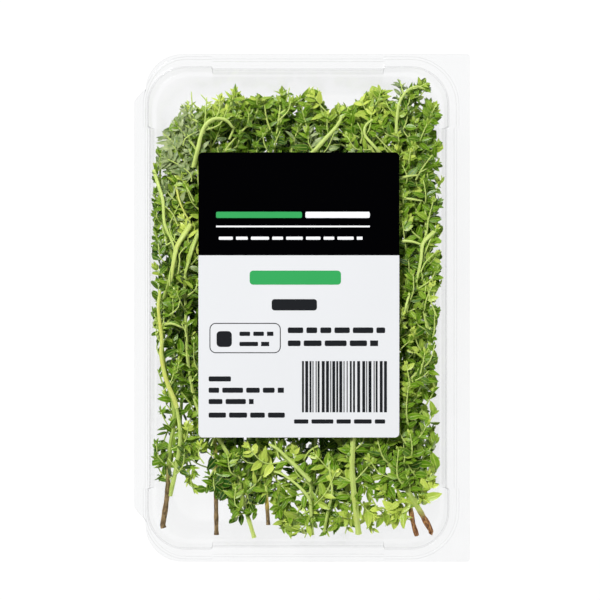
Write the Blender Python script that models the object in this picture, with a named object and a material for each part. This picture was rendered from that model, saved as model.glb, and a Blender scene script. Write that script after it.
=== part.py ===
"""Clear hinged punnet packed with loose cut thyme sprigs, with a bare label on its lid.

Metres, +Z up. The punnet lies on its tray floor with its long side along Y and its hinge
along the +X edge. The origin is on the ground under the middle of the punnet.
The tray, the lid, the label and every sprig are separate closed solids.
"""
import math
import random

import bmesh
import bpy
from mathutils import Vector

# ------------------------------------------------------------------ driving sizes
PACK_HALF_X = 0.0596        # from the middle to the flanges' hinge side, and to the tab's edge
PACK_HALF_Y = 0.0902
PACK_HEIGHT = 0.0300        # ground to the top of the label
SHEET = 0.0006              # wall of the formed plastic
GAP = 0.0003                # between pieces that touch
PARTING_Z = 0.0220          # top of the tray's flange

TAB_WIDTH = 0.0040          # thumb tab that stands out along the opening side
TAB_LOW_Y = -0.0777
TAB_HIGH_Y = 0.0802
FLANGE_CORNER = 0.0130      # radius of the flange's two opening-side corners
HINGE_STANDOFF = 0.0003     # the hinge line is this far outside the flanges

RIM_CENTRE_X = -0.0014      # the tub sits a little towards the opening side
RIM_HALF_X = 0.0529
RIM_HALF_Y = 0.0850
RIM_CORNER = 0.0130
SNAP_BULGE = 0.0008         # how far the four snap corners stand proud of the rim
SNAP_START_X = 0.0310       # where the snap corners start along the short sides
SNAP_START_Y = 0.0646       # and along the long sides
SNAP_RAMP = 0.0010
CORNER_STEPS = 5
CORNER_SHRINK = 0.4         # corner radius lost for each metre the wall comes in

# tub wall, from the mouth down: (height, how far the wall has come in, snap bulge)
TUB_WALL = (
    (PARTING_Z, 0.0, SNAP_BULGE),
    (0.0175, 0.0016, SNAP_BULGE),
    (0.0162, 0.0024, 0.0),
    (0.0030, 0.0079, 0.0),
    (SHEET, 0.0104, 0.0),
)
LABEL_THICKNESS = 0.0003
PANEL_TOP = PACK_HEIGHT - LABEL_THICKNESS - GAP
PANEL_STEP = 0.0005         # the middle panel stands this far above the lid's deck
PANEL_HALF_X = 0.0337
PANEL_HALF_Y = 0.0717
PANEL_CORNER = 0.0050
LID_SHOULDER = 0.0024       # the lid's deck starts this far inside the rim
LID_SHOULDER_DROP = 0.0014
SHOULDER_LEAN = 0.4         # share of the shoulder that the lid wall has come in by
SHOULDER_BULGE = 0.5        # share of the snap bulge left on the deck

LABEL_LEFT, LABEL_RIGHT = -0.0366, 0.0344
LABEL_LOW, LABEL_HIGH = -0.0458, 0.0550
LABEL_CORNER = 0.0014

# sprigs lie along Y in three layers; the top one is placed sprig by sprig
LAYER_HEIGHTS = (0.0046, 0.0114, 0.0182)
LOWER_LAYER_COUNT = 8
LAYER_END_CLEARANCE = 0.0040
END_SCATTER = 0.0060        # how unevenly the hidden sprigs' ends line up
LANE_SCATTER = 0.05         # their sideways scatter, as a share of the lane's width
TOP_FEET = (
    (-0.0475, -0.0770), (-0.0305, -0.0810), (-0.0170, -0.0815), (-0.0080, -0.0780),
    (0.0042, -0.0810), (0.0202, -0.0810), (0.0335, -0.0800), (0.0440, -0.0770),
)
TOP_HEADS = (
    (-0.0440, 0.0600), (-0.0345, 0.0740), (-0.0225, 0.0780), (-0.0100, 0.0760),
    (0.0035, 0.0790), (0.0160, 0.0745), (0.0290, 0.0800), (0.0415, 0.0740),
)
FOOT_HALF_WIDTH = 0.00080   # square stem, half its width at the cut end
HEAD_HALF_WIDTH = 0.00035
NODE_HEIGHT = 0.0013        # length of stem that one pair of leaves grows from
LEAF_PAIRS = 12
LOWEST_PAIR = 0.13          # shares of the stem where its first and last pairs grow
HIGHEST_PAIR = 0.965
LEAF_REACH = 0.0050
LEAF_RISE = 0.0030          # how far a side leaf leans towards the sprig's tip
LEAF_WIDTH = 0.0026
LEAF_THICKNESS = 0.0006
BELLY_REACH = 0.50          # where a leaf is widest, as shares of its reach and rise
BELLY_RISE = 0.45
UPRIGHT_REACH = 0.0027      # upper and lower leaves are pressed flat by the layers
UPRIGHT_RISE = 0.0046
SHARE_OF_GAP = 0.42         # a leaf takes this much of the space to the next stem
WALL_CLEARANCE = 0.0006
SWAY = 0.0009
RISE_SWAY = 0.3             # share of the sway that lifts and lowers the stem
TIP_TAPER = 0.6             # half width at the tip, as a share of the last pair's
SMOOTH_ANGLE = 35.0         # degrees; edges bent more than this stay sharp
SPRIG_SMOOTH_ANGLE = 60.0
CLEAR_PLASTIC = ((0.92, 0.94, 0.95), 0.05, 0.25)   # colour, roughness, alpha
LABEL_PAPER = ((0.85, 0.85, 0.87), 0.45)
LEAF_RED, LEAF_GREEN, LEAF_BLUE = (0.10, 0.20), (0.26, 0.36), (0.03, 0.06)
LEAF_ROUGHNESS = 0.55
SEED = 20


# ------------------------------------------------------------------ scene helpers
def clear_scene():
    """Remove every object that the file opened with."""
    for old in list(bpy.data.objects):
        bpy.data.objects.remove(old, do_unlink=True)


def material(name, colour, roughness, alpha=1.0):
    """Principled material with one colour."""
    made = bpy.data.materials.new(name)
    made.use_nodes = True
    shader = made.node_tree.nodes["Principled BSDF"]
    shader.inputs["Base Color"].default_value = (*colour, 1.0)
    shader.inputs["Roughness"].default_value = roughness
    shader.inputs["Metallic"].default_value = 0.0
    shader.inputs["Alpha"].default_value = alpha
    return made


def add_object(name, bm, finish, parent=None, smooth_angle=SMOOTH_ANGLE):
    """Turn a bmesh into a named object with outward faces."""
    bmesh.ops.recalc_face_normals(bm, faces=bm.faces)
    mesh = bpy.data.meshes.new(name)
    bm.to_mesh(mesh)
    bm.free()
    mesh.materials.append(finish)
    mesh.shade_smooth()
    mesh.set_sharp_from_angle(angle=math.radians(smooth_angle))
    made = bpy.data.objects.new(name, mesh)
    bpy.context.scene.collection.objects.link(made)
    if parent is not None:
        made.parent = parent
        made.matrix_parent_inverse = parent.matrix_world.inverted()
    return made


# ------------------------------------------------------------------ formed plastic
def rim_loop(half_x, half_y, corner, bulge=0.0, centre_x=RIM_CENTRE_X):
    """Anticlockwise rounded rectangle whose corner stretches stand proud by bulge."""
    points = []
    for quarter in range(4):
        turn = math.radians(90 * quarter)
        along = Vector((math.cos(turn), math.sin(turn)))
        outward = Vector((math.sin(turn), -math.cos(turn)))
        even = quarter % 2 == 0
        ahead, aside = (half_x, half_y) if even else (half_y, half_x)
        start, finish = (SNAP_START_X, SNAP_START_Y) if even else (SNAP_START_Y, SNAP_START_X)
        start = min(start, ahead - corner - SNAP_RAMP)
        finish = min(finish, aside - corner - SNAP_RAMP)
        local = [(start - SNAP_RAMP, aside), (start, aside + bulge)]
        for step in range(CORNER_STEPS + 1):
            angle = math.radians(90 * step / CORNER_STEPS)
            reach = corner + bulge
            sine, cosine = math.sin(angle), math.cos(angle)
            local.append((ahead - corner + reach * sine, aside - corner + reach * cosine))
        local += [(ahead + bulge, finish), (ahead, finish - SNAP_RAMP)]
        points += [along * p + outward * q for p, q in local]
    return [(centre_x + point.x, point.y) for point in points]


def wall_loop(inset, bulge, growth=0.0):
    """The tub's outline where its wall has come in by inset, moved out by growth."""
    corner = RIM_CORNER - CORNER_SHRINK * inset + growth
    return rim_loop(RIM_HALF_X - inset + growth, RIM_HALF_Y - inset + growth, corner, bulge)


def panel_loop(growth):
    """The lid's middle panel outline, moved out by growth."""
    return rim_loop(PANEL_HALF_X + growth, PANEL_HALF_Y + growth, PANEL_CORNER + growth)


def flange_loop():
    """Anticlockwise flange outline: square at the hinge, round and tabbed at the opening."""
    body_left = TAB_WIDTH - PACK_HALF_X
    points = [(PACK_HALF_X, -PACK_HALF_Y), (PACK_HALF_X, PACK_HALF_Y)]
    for side, first in ((1, 90), (-1, 180)):
        centre = Vector((body_left + FLANGE_CORNER, side * (PACK_HALF_Y - FLANGE_CORNER)))
        for step in range(CORNER_STEPS + 1):
            angle = math.radians(first + 90 * step / CORNER_STEPS)
            points.append(tuple(centre + FLANGE_CORNER * Vector((math.cos(angle), math.sin(angle)))))
        if side > 0:
            points += [(body_left, TAB_HIGH_Y - TAB_WIDTH), (-PACK_HALF_X, TAB_HIGH_Y - 2 * TAB_WIDTH)]
            points += [(-PACK_HALF_X, TAB_LOW_Y + 2 * TAB_WIDTH), (body_left, TAB_LOW_Y + TAB_WIDTH)]
    return points


def add_ring(bm, loop, z):
    """Vertices of one level loop."""
    return [bm.verts.new((x, y, z)) for x, y in loop]


def band(bm, lower, upper):
    """Quads between two loops of equal length."""
    count = len(lower)
    for i in range(count):
        j = (i + 1) % count
        bm.faces.new((lower[i], lower[j], upper[j], upper[i]))


def plate(bm, outer, hole):
    """Fill the level area between an outline and the hole in it."""
    edges = []
    for loop in (outer, hole):
        for i, vert in enumerate(loop):
            after = loop[(i + 1) % len(loop)]
            edges.append(bm.edges.get((vert, after)) or bm.edges.new((vert, after)))
    bmesh.ops.triangle_fill(bm, use_beauty=True, use_dissolve=False, edges=edges)


def formed_shell(name, finish, flange_faces, skins, parent=None):
    """A thin formed shell: a flange around a hollow that two skins close.

    flange_faces are the heights of the flange's face on each skin, and each skin is its
    list of (loop, height) from the flange inwards.
    """
    bm = bmesh.new()
    outline = flange_loop()
    edges = [add_ring(bm, outline, z) for z in flange_faces]
    band(bm, edges[0], edges[1])
    for edge, skin in zip(edges, skins):
        rings = [add_ring(bm, loop, z) for loop, z in skin]
        for one, other in zip(rings, rings[1:]):
            band(bm, one, other)
        bm.faces.new(rings[-1])
        plate(bm, edge, rings[0])
    return add_object(name, bm, finish, parent)


def make_tray(finish):
    """The deep half: flange, drafted tub wall with snap corners, flat floor."""
    inner = [(wall_loop(inset, bulge), z) for z, inset, bulge in TUB_WALL]
    outer = [(wall_loop(inset, bulge, SHEET), z - SHEET) for z, inset, bulge in TUB_WALL]
    return formed_shell("punnet_base", finish, (PARTING_Z, PARTING_Z - SHEET), (inner, outer))


def lid_skin(flange_z, drop, growth):
    """One skin of the lid: wall, rounded shoulder, deck and raised middle panel."""
    deck_z = PANEL_TOP - PANEL_STEP - drop
    return [
        (wall_loop(0.0, SNAP_BULGE, growth), flange_z),
        (wall_loop(SHOULDER_LEAN * LID_SHOULDER, SNAP_BULGE, growth), deck_z - LID_SHOULDER_DROP),
        (wall_loop(LID_SHOULDER, SHOULDER_BULGE * SNAP_BULGE, growth), deck_z),
        (panel_loop(PANEL_STEP + growth), deck_z),
        (panel_loop(growth), PANEL_TOP - drop),
    ]


def make_lid(finish, hinge):
    """The shallow half, carried by the hinge."""
    low = PARTING_Z + GAP
    outer = lid_skin(low + SHEET, 0.0, 0.0)
    inner = lid_skin(low, SHEET, -SHEET)
    return formed_shell("punnet_lid", finish, (low + SHEET, low), (outer, inner), hinge)


def make_label(finish, lid):
    """Flat label with small round corners, on the lid's middle panel."""
    bm = bmesh.new()
    half_x = (LABEL_RIGHT - LABEL_LEFT) / 2
    half_y = (LABEL_HIGH - LABEL_LOW) / 2
    centre_y = (LABEL_HIGH + LABEL_LOW) / 2
    flat = rim_loop(half_x, half_y, LABEL_CORNER, 0.0, LABEL_LEFT + half_x)
    loop = [(x, y + centre_y) for x, y in flat]
    low = add_ring(bm, loop, PACK_HEIGHT - LABEL_THICKNESS)
    high = add_ring(bm, loop, PACK_HEIGHT)
    band(bm, low, high)
    bm.faces.new(low)
    bm.faces.new(high)
    return add_object("label", bm, finish, lid)


# ------------------------------------------------------------------ sprigs
def tub_inset(z):
    """How far the tub's inner wall has come in at a height."""
    for (high, inset_high, _), (low, inset_low, _) in zip(TUB_WALL, TUB_WALL[1:]):
        if z >= low:
            return inset_low + (inset_high - inset_low) * (z - low) / (high - low)
    return TUB_WALL[-1][1]


def tub_edge(y, z, side):
    """Where the tub's inner wall is, on the side given, at a place along the tub."""
    inset = tub_inset(z)
    corner = RIM_CORNER - CORNER_SHRINK * inset
    past = max(0.0, abs(y) - (RIM_HALF_Y - inset - corner))
    round_off = corner - math.sqrt(max(0.0, corner * corner - past * past))
    return RIM_CENTRE_X + side * (RIM_HALF_X - inset - round_off)


class SprigPath:
    """The line of one stem, from its cut foot to its tip."""

    def __init__(self, foot, head, z, phase):
        self.foot, self.head, self.z, self.phase = foot, head, z, phase

    def at(self, share):
        """Point on the stem at a share of its length."""
        eased = share * share * (3 - 2 * share)
        x = self.foot[0] + (self.head[0] - self.foot[0]) * eased
        x += SWAY * math.sin(self.phase + 2 * math.tau * share) * math.sin(math.pi * share)
        y = self.foot[1] + (self.head[1] - self.foot[1]) * share
        lift = RISE_SWAY * SWAY * math.sin(self.phase + math.tau * share)
        return Vector((x, y, self.z + lift))

    def share_at(self, y):
        """Share of the stem that lies at y, kept to the stem's ends."""
        return min(1.0, max(0.0, (y - self.foot[1]) / (self.head[1] - self.foot[1])))


def lower_layer(z, draw):
    """Evenly laid sprigs of one hidden layer, with their ends a little out of line."""
    inset = tub_inset(z)
    half_x = RIM_HALF_X - inset
    half_y = RIM_HALF_Y - inset - LAYER_END_CLEARANCE
    spacing = 2 * half_x / LOWER_LAYER_COUNT
    paths = []
    for lane in range(LOWER_LAYER_COUNT):
        x = RIM_CENTRE_X - half_x + spacing * (lane + 0.5)
        outermost = lane in (0, LOWER_LAYER_COUNT - 1)
        shorter = RIM_CORNER * CORNER_SHRINK if outermost else 0.0
        ends = []
        for way in (-1, 1):
            end_x = x + draw.uniform(-1, 1) * LANE_SCATTER * spacing
            ends.append((end_x, way * (half_y - shorter - draw.uniform(0.0, END_SCATTER))))
        paths.append(SprigPath(ends[0], ends[1], z, draw.uniform(0, math.tau)))
    return paths


def top_layer(z, draw):
    """The sprigs under the lid, each with its own foot and head."""
    ends = zip(TOP_FEET, TOP_HEADS)
    return [SprigPath(foot, head, z, draw.uniform(0, math.tau)) for foot, head in ends]


def room_beside(layer, index, centre, side):
    """How far a side leaf may reach before it meets the next sprig or the tub's wall."""
    beside = index + side
    to_wall = abs(tub_edge(centre.y, centre.z, side) - centre.x) - WALL_CLEARANCE
    if not 0 <= beside < len(layer):
        return min(LEAF_REACH, to_wall)
    other = layer[beside]
    to_stem = abs(other.at(other.share_at(centre.y)).x - centre.x)
    return min(LEAF_REACH, SHARE_OF_GAP * to_stem, to_wall)


def grow_leaf(bm, face_verts, centre, outward, reach, rise, across):
    """Leaf from one side of the stem: a thin blade that widens, then closes to a point."""
    belly = centre + outward * (BELLY_REACH * reach) + Vector((0, BELLY_RISE * rise, 0))
    tip = bm.verts.new(centre + outward * reach + Vector((0, rise, 0)))
    axis = (tip.co - centre).normalized()
    thin = axis.cross(across).normalized() * (LEAF_THICKNESS / 2)
    wide = across * (LEAF_WIDTH / 2)
    corners = [belly + wide + thin, belly + wide - thin, belly - wide - thin, belly - wide + thin]
    ring = []
    for vert in face_verts:
        towards = (vert.co - centre).normalized()
        nearest = max(corners, key=lambda corner: (corner - belly).normalized().dot(towards))
        corners.remove(nearest)
        ring.append(bm.verts.new(nearest))
    count = len(face_verts)
    for i in range(count):
        j = (i + 1) % count
        bm.faces.new((face_verts[i], face_verts[j], ring[j], ring[i]))
        bm.faces.new((ring[i], ring[j], tip))


def stem_ring(bm, centre, half_width):
    """Four corners of the square stem, its sides facing X and Z."""
    places = ((1, -1), (1, 1), (-1, 1), (-1, -1))
    return [bm.verts.new(centre + Vector((half_width * x, 0, half_width * z))) for x, z in places]


def make_sprig(name, finish, layer, index):
    """One square-stemmed sprig with crossed pairs of leaves, as a single closed body."""
    path = layer[index]
    length = path.head[1] - path.foot[1]
    bm = bmesh.new()
    first = stem_ring(bm, path.at(0.0), FOOT_HALF_WIDTH)
    bm.faces.new(first)
    ring = first
    for pair in range(LEAF_PAIRS):
        share = LOWEST_PAIR + (HIGHEST_PAIR - LOWEST_PAIR) * pair / (LEAF_PAIRS - 1)
        half_width = FOOT_HALF_WIDTH + (HEAD_HALF_WIDTH - FOOT_HALF_WIDTH) * share
        low = stem_ring(bm, path.at(share), half_width)
        high = stem_ring(bm, path.at(share + NODE_HEIGHT / length), half_width)
        band(bm, ring, low)
        centre = path.at(share + 0.5 * NODE_HEIGHT / length)
        crossed = pair % 2
        for side in range(4):
            after = (side + 1) % 4
            face = (low[side], low[after], high[after], high[side])
            if side % 2 != crossed:
                bm.faces.new(face)
                continue
            middle = sum((vert.co for vert in face), Vector()) / 4
            outward = (middle - centre).normalized()
            if crossed:
                reach = UPRIGHT_REACH - half_width
                grow_leaf(bm, face, middle, outward, reach, UPRIGHT_RISE, Vector((1, 0, 0)))
                continue
            reach = room_beside(layer, index, centre, 1 if outward.x > 0 else -1) - half_width
            blade = Vector((0, 1, 0)) - outward * (LEAF_RISE / LEAF_REACH)
            grow_leaf(bm, face, middle, outward, reach, LEAF_RISE, blade.normalized())
        ring = high
    last = stem_ring(bm, path.at(1.0), TIP_TAPER * HEAD_HALF_WIDTH)
    band(bm, ring, last)
    bm.faces.new(last)
    return add_object(name, bm, finish, None, SPRIG_SMOOTH_ANGLE)


# ------------------------------------------------------------------ the punnet
def main():
    """Build every piece and hang the lid and its label on the hinge."""
    clear_scene()
    draw = random.Random(SEED)
    make_tray(material("clear_tray", *CLEAR_PLASTIC))
    hinge = bpy.data.objects.new("lid_hinge", None)
    hinge.location = (PACK_HALF_X + HINGE_STANDOFF, 0.0, PARTING_Z + GAP / 2)
    bpy.context.scene.collection.objects.link(hinge)
    bpy.context.view_layer.update()
    make_lid(material("clear_lid", *CLEAR_PLASTIC), hinge)
    make_label(material("label_paper", *LABEL_PAPER), hinge)
    layers = [lower_layer(z, draw) for z in LAYER_HEIGHTS[:-1]]
    layers.append(top_layer(LAYER_HEIGHTS[-1], draw))
    number = 0
    for layer in layers:
        for index in range(len(layer)):
            number += 1
            green = tuple(draw.uniform(*limits) for limits in (LEAF_RED, LEAF_GREEN, LEAF_BLUE))
            name = f"thyme_sprig_{number:02d}"
            make_sprig(name, material(name + "_leaf", green, LEAF_ROUGHNESS), layer, index)


main()
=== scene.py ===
"""Looks of a clear hinged punnet packed with cut thyme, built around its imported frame.

Lengths are in metres. The punnet lies along Y, its hinge is on the +X side, and the camera
looks straight down on the lid.
"""
from __future__ import annotations

import logging
import math
import random
from dataclasses import dataclass, field
from enum import Enum
from typing import Iterable, Sequence

import bmesh
import bpy
import numpy as np
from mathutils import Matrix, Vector


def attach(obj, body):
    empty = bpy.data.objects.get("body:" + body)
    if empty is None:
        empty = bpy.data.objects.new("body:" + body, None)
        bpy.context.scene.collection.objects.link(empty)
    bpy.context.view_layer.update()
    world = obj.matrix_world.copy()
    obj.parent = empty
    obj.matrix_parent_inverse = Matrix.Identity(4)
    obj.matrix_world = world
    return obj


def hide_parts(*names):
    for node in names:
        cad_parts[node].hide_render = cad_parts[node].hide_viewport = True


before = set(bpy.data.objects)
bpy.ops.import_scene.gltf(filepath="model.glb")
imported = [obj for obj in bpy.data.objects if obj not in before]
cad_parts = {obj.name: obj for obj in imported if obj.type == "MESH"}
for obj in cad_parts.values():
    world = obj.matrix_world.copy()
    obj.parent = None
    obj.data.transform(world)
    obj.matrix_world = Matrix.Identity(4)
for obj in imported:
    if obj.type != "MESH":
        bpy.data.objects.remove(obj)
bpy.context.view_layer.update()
MM = 0.001
LOG = logging.getLogger("thyme_punnet")

GROWTH = "growth"           # vertex attribute that growing parts carry
SPLINE_STEPS = 12           # points drawn between two given ones of a smooth line
LEAST_LENGTH = 1e-9         # keeps a division by a vector's length safe

Loop = list[tuple[float, float]]
Colour = tuple[float, float, float]
Box = tuple[float, float, float, float]
Ring = tuple[Loop, float]


# ============================================================ shared helpers
def set_stops(ramp: bpy.types.ColorRamp, stops: Sequence[tuple[float, Colour]]) -> None:
    """Set a colour ramp's stops.

    Args:
        ramp: the ramp to fill.
        stops: pairs of position and colour, in order.
    """
    while len(ramp.elements) < len(stops):
        ramp.elements.new(1.0)
    for element, (place, colour) in zip(ramp.elements, stops):
        element.position = place
        element.color = (*colour, 1.0)


def arc(x: float, y: float, radius: float, first: float, steps: int) -> Loop:
    """Quarter arc, anticlockwise from the first angle in degrees."""
    angles = [math.radians(first + 90 * i / steps) for i in range(steps + 1)]
    return [(x + radius * math.cos(a), y + radius * math.sin(a)) for a in angles]


def band(bm: bmesh.types.BMesh, one: list, other: list) -> None:
    """Quads between two loops of equal length."""
    for i, vert in enumerate(one):
        j = (i + 1) % len(one)
        bm.faces.new((vert, one[j], other[j], other[i]))


def placed(name: str, mesh: bpy.types.Mesh, finish: bpy.types.Material, sharp: float = 0.0) -> bpy.types.Object:
    """Give a mesh its finish and put it in the scene.

    Args:
        name: the piece's name.
        mesh: its mesh.
        finish: its material.
        sharp: edges bent more than this many degrees stay sharp; 0 keeps every face flat.

    Returns:
        The new object.
    """
    mesh.materials.append(finish)
    if sharp:
        mesh.shade_smooth()
        mesh.set_sharp_from_angle(angle=math.radians(sharp))
    made = bpy.data.objects.new(name, mesh)
    bpy.context.scene.collection.objects.link(made)
    return made


def mesh_from(name: str, bm: bmesh.types.BMesh) -> bpy.types.Mesh:
    """Turn a BMesh with outward normals into a mesh, and free it."""
    bmesh.ops.recalc_face_normals(bm, faces=bm.faces)
    mesh = bpy.data.meshes.new(name)
    bm.to_mesh(mesh)
    bm.free()
    return mesh


# ============================================================ shader maths
class Sock:
    """A shader socket that takes part in Python expressions."""

    def __init__(self, tree: bpy.types.NodeTree, socket: bpy.types.NodeSocket) -> None:
        """Keep the tree and the socket.

        Args:
            tree: the node tree that new nodes join.
            socket: the output socket this value is.
        """
        self.tree = tree
        self.socket = socket

    def _math(self, operation: str, first: object, second: object) -> "Sock":
        """One Math node over two values.

        Args:
            operation: Blender's name for the operation.
            first: left value.
            second: right value.

        Returns:
            The node's result.
        """
        node = self.tree.nodes.new("ShaderNodeMath")
        node.operation = operation
        for place, value in zip(node.inputs, (first, second)):
            if isinstance(value, Sock):
                self.tree.links.new(value.socket, place)
            else:
                place.default_value = float(value)
        return Sock(self.tree, node.outputs[0])

    def __add__(self, other: object) -> "Sock":
        """Sum."""
        return self._math("ADD", self, other)

    def __radd__(self, other: object) -> "Sock":
        """Sum, reflected."""
        return self._math("ADD", other, self)

    def __sub__(self, other: object) -> "Sock":
        """Difference."""
        return self._math("SUBTRACT", self, other)

    def __rsub__(self, other: object) -> "Sock":
        """Difference, reflected."""
        return self._math("SUBTRACT", other, self)

    def __mul__(self, other: object) -> "Sock":
        """Product."""
        return self._math("MULTIPLY", self, other)

    def __rmul__(self, other: object) -> "Sock":
        """Product, reflected."""
        return self._math("MULTIPLY", other, self)

    def __pow__(self, other: object) -> "Sock":
        """Power."""
        return self._math("POWER", self, other)


class Shading:
    """A material under construction: one Principled shader and what feeds it."""

    def __init__(self, name: str) -> None:
        """Start an empty material with a Principled shader.

        Args:
            name: the material's name.
        """
        self.material = bpy.data.materials.new(name)
        self.material.use_nodes = True
        self.tree = self.material.node_tree
        self.shader = self.tree.nodes["Principled BSDF"]
        self.output = self.tree.nodes["Material Output"]

    def node(
        self, kind: str, settings: dict | None = None, feeds: dict | None = None, out: int | str = 0
    ) -> Sock:
        """Add any node.

        Args:
            kind: the node's type, such as ShaderNodeTexNoise.
            settings: properties set first, with a ramp's stops under "stops".
            feeds: values or sockets for its inputs, by name or index.
            out: which output to return.

        Returns:
            The chosen output.
        """
        made = self.tree.nodes.new(kind)
        for key, value in (settings or {}).items():
            if key == "stops":
                set_stops(made.color_ramp, value)
            else:
                setattr(made, key, value)
        for key, value in (feeds or {}).items():
            if isinstance(value, Sock):
                self.tree.links.new(value.socket, made.inputs[key])
            else:
                made.inputs[key].default_value = value
        return Sock(self.tree, made.outputs[out])

    def blend(self, amount: object, first: object, second: object) -> Sock:
        """Mix two colours.

        Args:
            amount: share of the second colour, a socket or a number.
            first: colour or socket.
            second: colour or socket.

        Returns:
            The mixed colour.
        """
        made = self.tree.nodes.new("ShaderNodeMix")
        made.data_type = "RGBA"
        for key, value in ((0, amount), (6, first), (7, second)):
            if isinstance(value, Sock):
                self.tree.links.new(value.socket, made.inputs[key])
            elif key == 0:
                made.inputs[key].default_value = float(value)
            else:
                made.inputs[key].default_value = (*value, 1.0)
        return Sock(self.tree, made.outputs[2])

    def ramp(self, value: Sock, stops: Sequence[tuple[float, Colour]]) -> Sock:
        """Colour ramp over a value."""
        return self.node("ShaderNodeValToRGB", {"stops": stops}, {0: value})

    def step(self, value: Sock, low: float, high: float) -> Sock:
        """Smooth rise from 0 at low to 1 at high."""
        settings = {"interpolation_type": "SMOOTHSTEP"}
        return self.node("ShaderNodeMapRange", settings, {"Value": value, "From Min": low, "From Max": high})

    def noise(self, scale: float, detail: float = 3.0, rough: float = 0.5) -> Sock:
        """Noise over the object's own coordinates, between 0 and 1."""
        place = self.node("ShaderNodeTexCoord", out="Object")
        return self.node(
            "ShaderNodeTexNoise", None, {"Vector": place, "Scale": scale, "Detail": detail, "Roughness": rough}
        )

    def grown(self) -> tuple[Sock, Sock, Sock]:
        """The three values that growing parts carry on each vertex.

        Returns:
            Nearness to the midrib (or the cut face), place along, and tone.
        """
        vector = self.node("ShaderNodeAttribute", {"attribute_name": GROWTH}, out="Vector")
        parts = self.node("ShaderNodeSeparateXYZ", None, {0: vector})
        outputs = parts.socket.node.outputs
        return Sock(self.tree, outputs[0]), Sock(self.tree, outputs[1]), Sock(self.tree, outputs[2])

    def set(self, **values: object) -> None:
        """Set the shader's sockets, with _ for a space in a name.

        Args:
            values: constants or sockets by socket name.
        """
        for key, value in values.items():
            place = self.shader.inputs[key.replace("_", " ")]
            if isinstance(value, Sock):
                self.tree.links.new(value.socket, place)
            elif isinstance(value, tuple) and len(value) == 3:
                place.default_value = (*value, 1.0)
            else:
                place.default_value = value

    def bump(self, height: Sock, distance: float, strength: float = 1.0) -> None:
        """Feed the shader's normal from a height in metres."""
        made = self.node("ShaderNodeBump", None, {"Height": height, "Distance": distance, "Strength": strength})
        self.set(Normal=made)


# ============================================================ finishes
@dataclass(frozen=True)
class LeafFinish:
    """Leaf skin with a soft shine, from deep to fresh green, with pale veins that are partly a painted highlight,
    pale margins that are a painted highlight, and some leaves painted grey as a painted haze.

    Attributes:
        name: the material's name.
        deep, middle, fresh: colours from the oldest to the youngest leaves.
        rib_and_edge_highlight: colour of the vein, partly its own pale colour and partly a painted highlight, and of
            the margin, where it is a painted highlight.
        haze_grey, haze_grey_deep: painted haze, grey standing in for light reflected in the lid, on the leaves that
            carry a tone below zero.
    """

    name: str = "thyme_leaf"
    deep: Colour = (0.014, 0.076, 0.002)
    middle: Colour = (0.136, 0.290, 0.006)
    fresh: Colour = (0.590, 0.715, 0.120)
    rib_and_edge_highlight: Colour = (0.800, 0.860, 0.200)
    haze_grey: Colour = (0.400, 0.480, 0.230)
    haze_grey_deep: Colour = (0.150, 0.240, 0.085)

    def make(self) -> bpy.types.Material:
        """Build the material."""
        s = Shading(self.name)
        rib_and_edge_highlight, along, tone = s.grown()
        mottle = s.noise(420.0, 3.0)
        fine = s.noise(3200.0, 2.0)
        shade = tone + (mottle - 0.5) * 0.35 + (along - 0.5) * 0.10
        green = s.ramp(shade, ((0.0, self.deep), (0.5, self.middle), (1.0, self.fresh)))
        # Leaves with a tone below zero are painted grey: a painted haze standing in for light reflected in the lid.
        hazed_green = s.blend(s.step(mottle, 0.35, 0.65), self.haze_grey_deep, self.haze_grey)
        green = s.blend(s.step(-0.2 - tone, 0.0, 0.4), green, hazed_green)
        # Pale vein: partly the leaf's own colour, partly a painted highlight. Pale margin: a painted highlight.
        vein_and_highlight = s.step(rib_and_edge_highlight, 0.80, 1.0)
        margin = 1.0 - s.step(rib_and_edge_highlight, 0.0, 0.22)
        green = s.blend(vein_and_highlight * 0.36 + margin * 0.34, green, self.rib_and_edge_highlight)
        s.set(Base_Color=green, Roughness=0.24 + fine * 0.16, Specular_IOR_Level=0.34)
        s.bump(fine * 0.5 - vein_and_highlight * 0.8 + mottle, 0.00012, 0.7)
        return s.material


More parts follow.
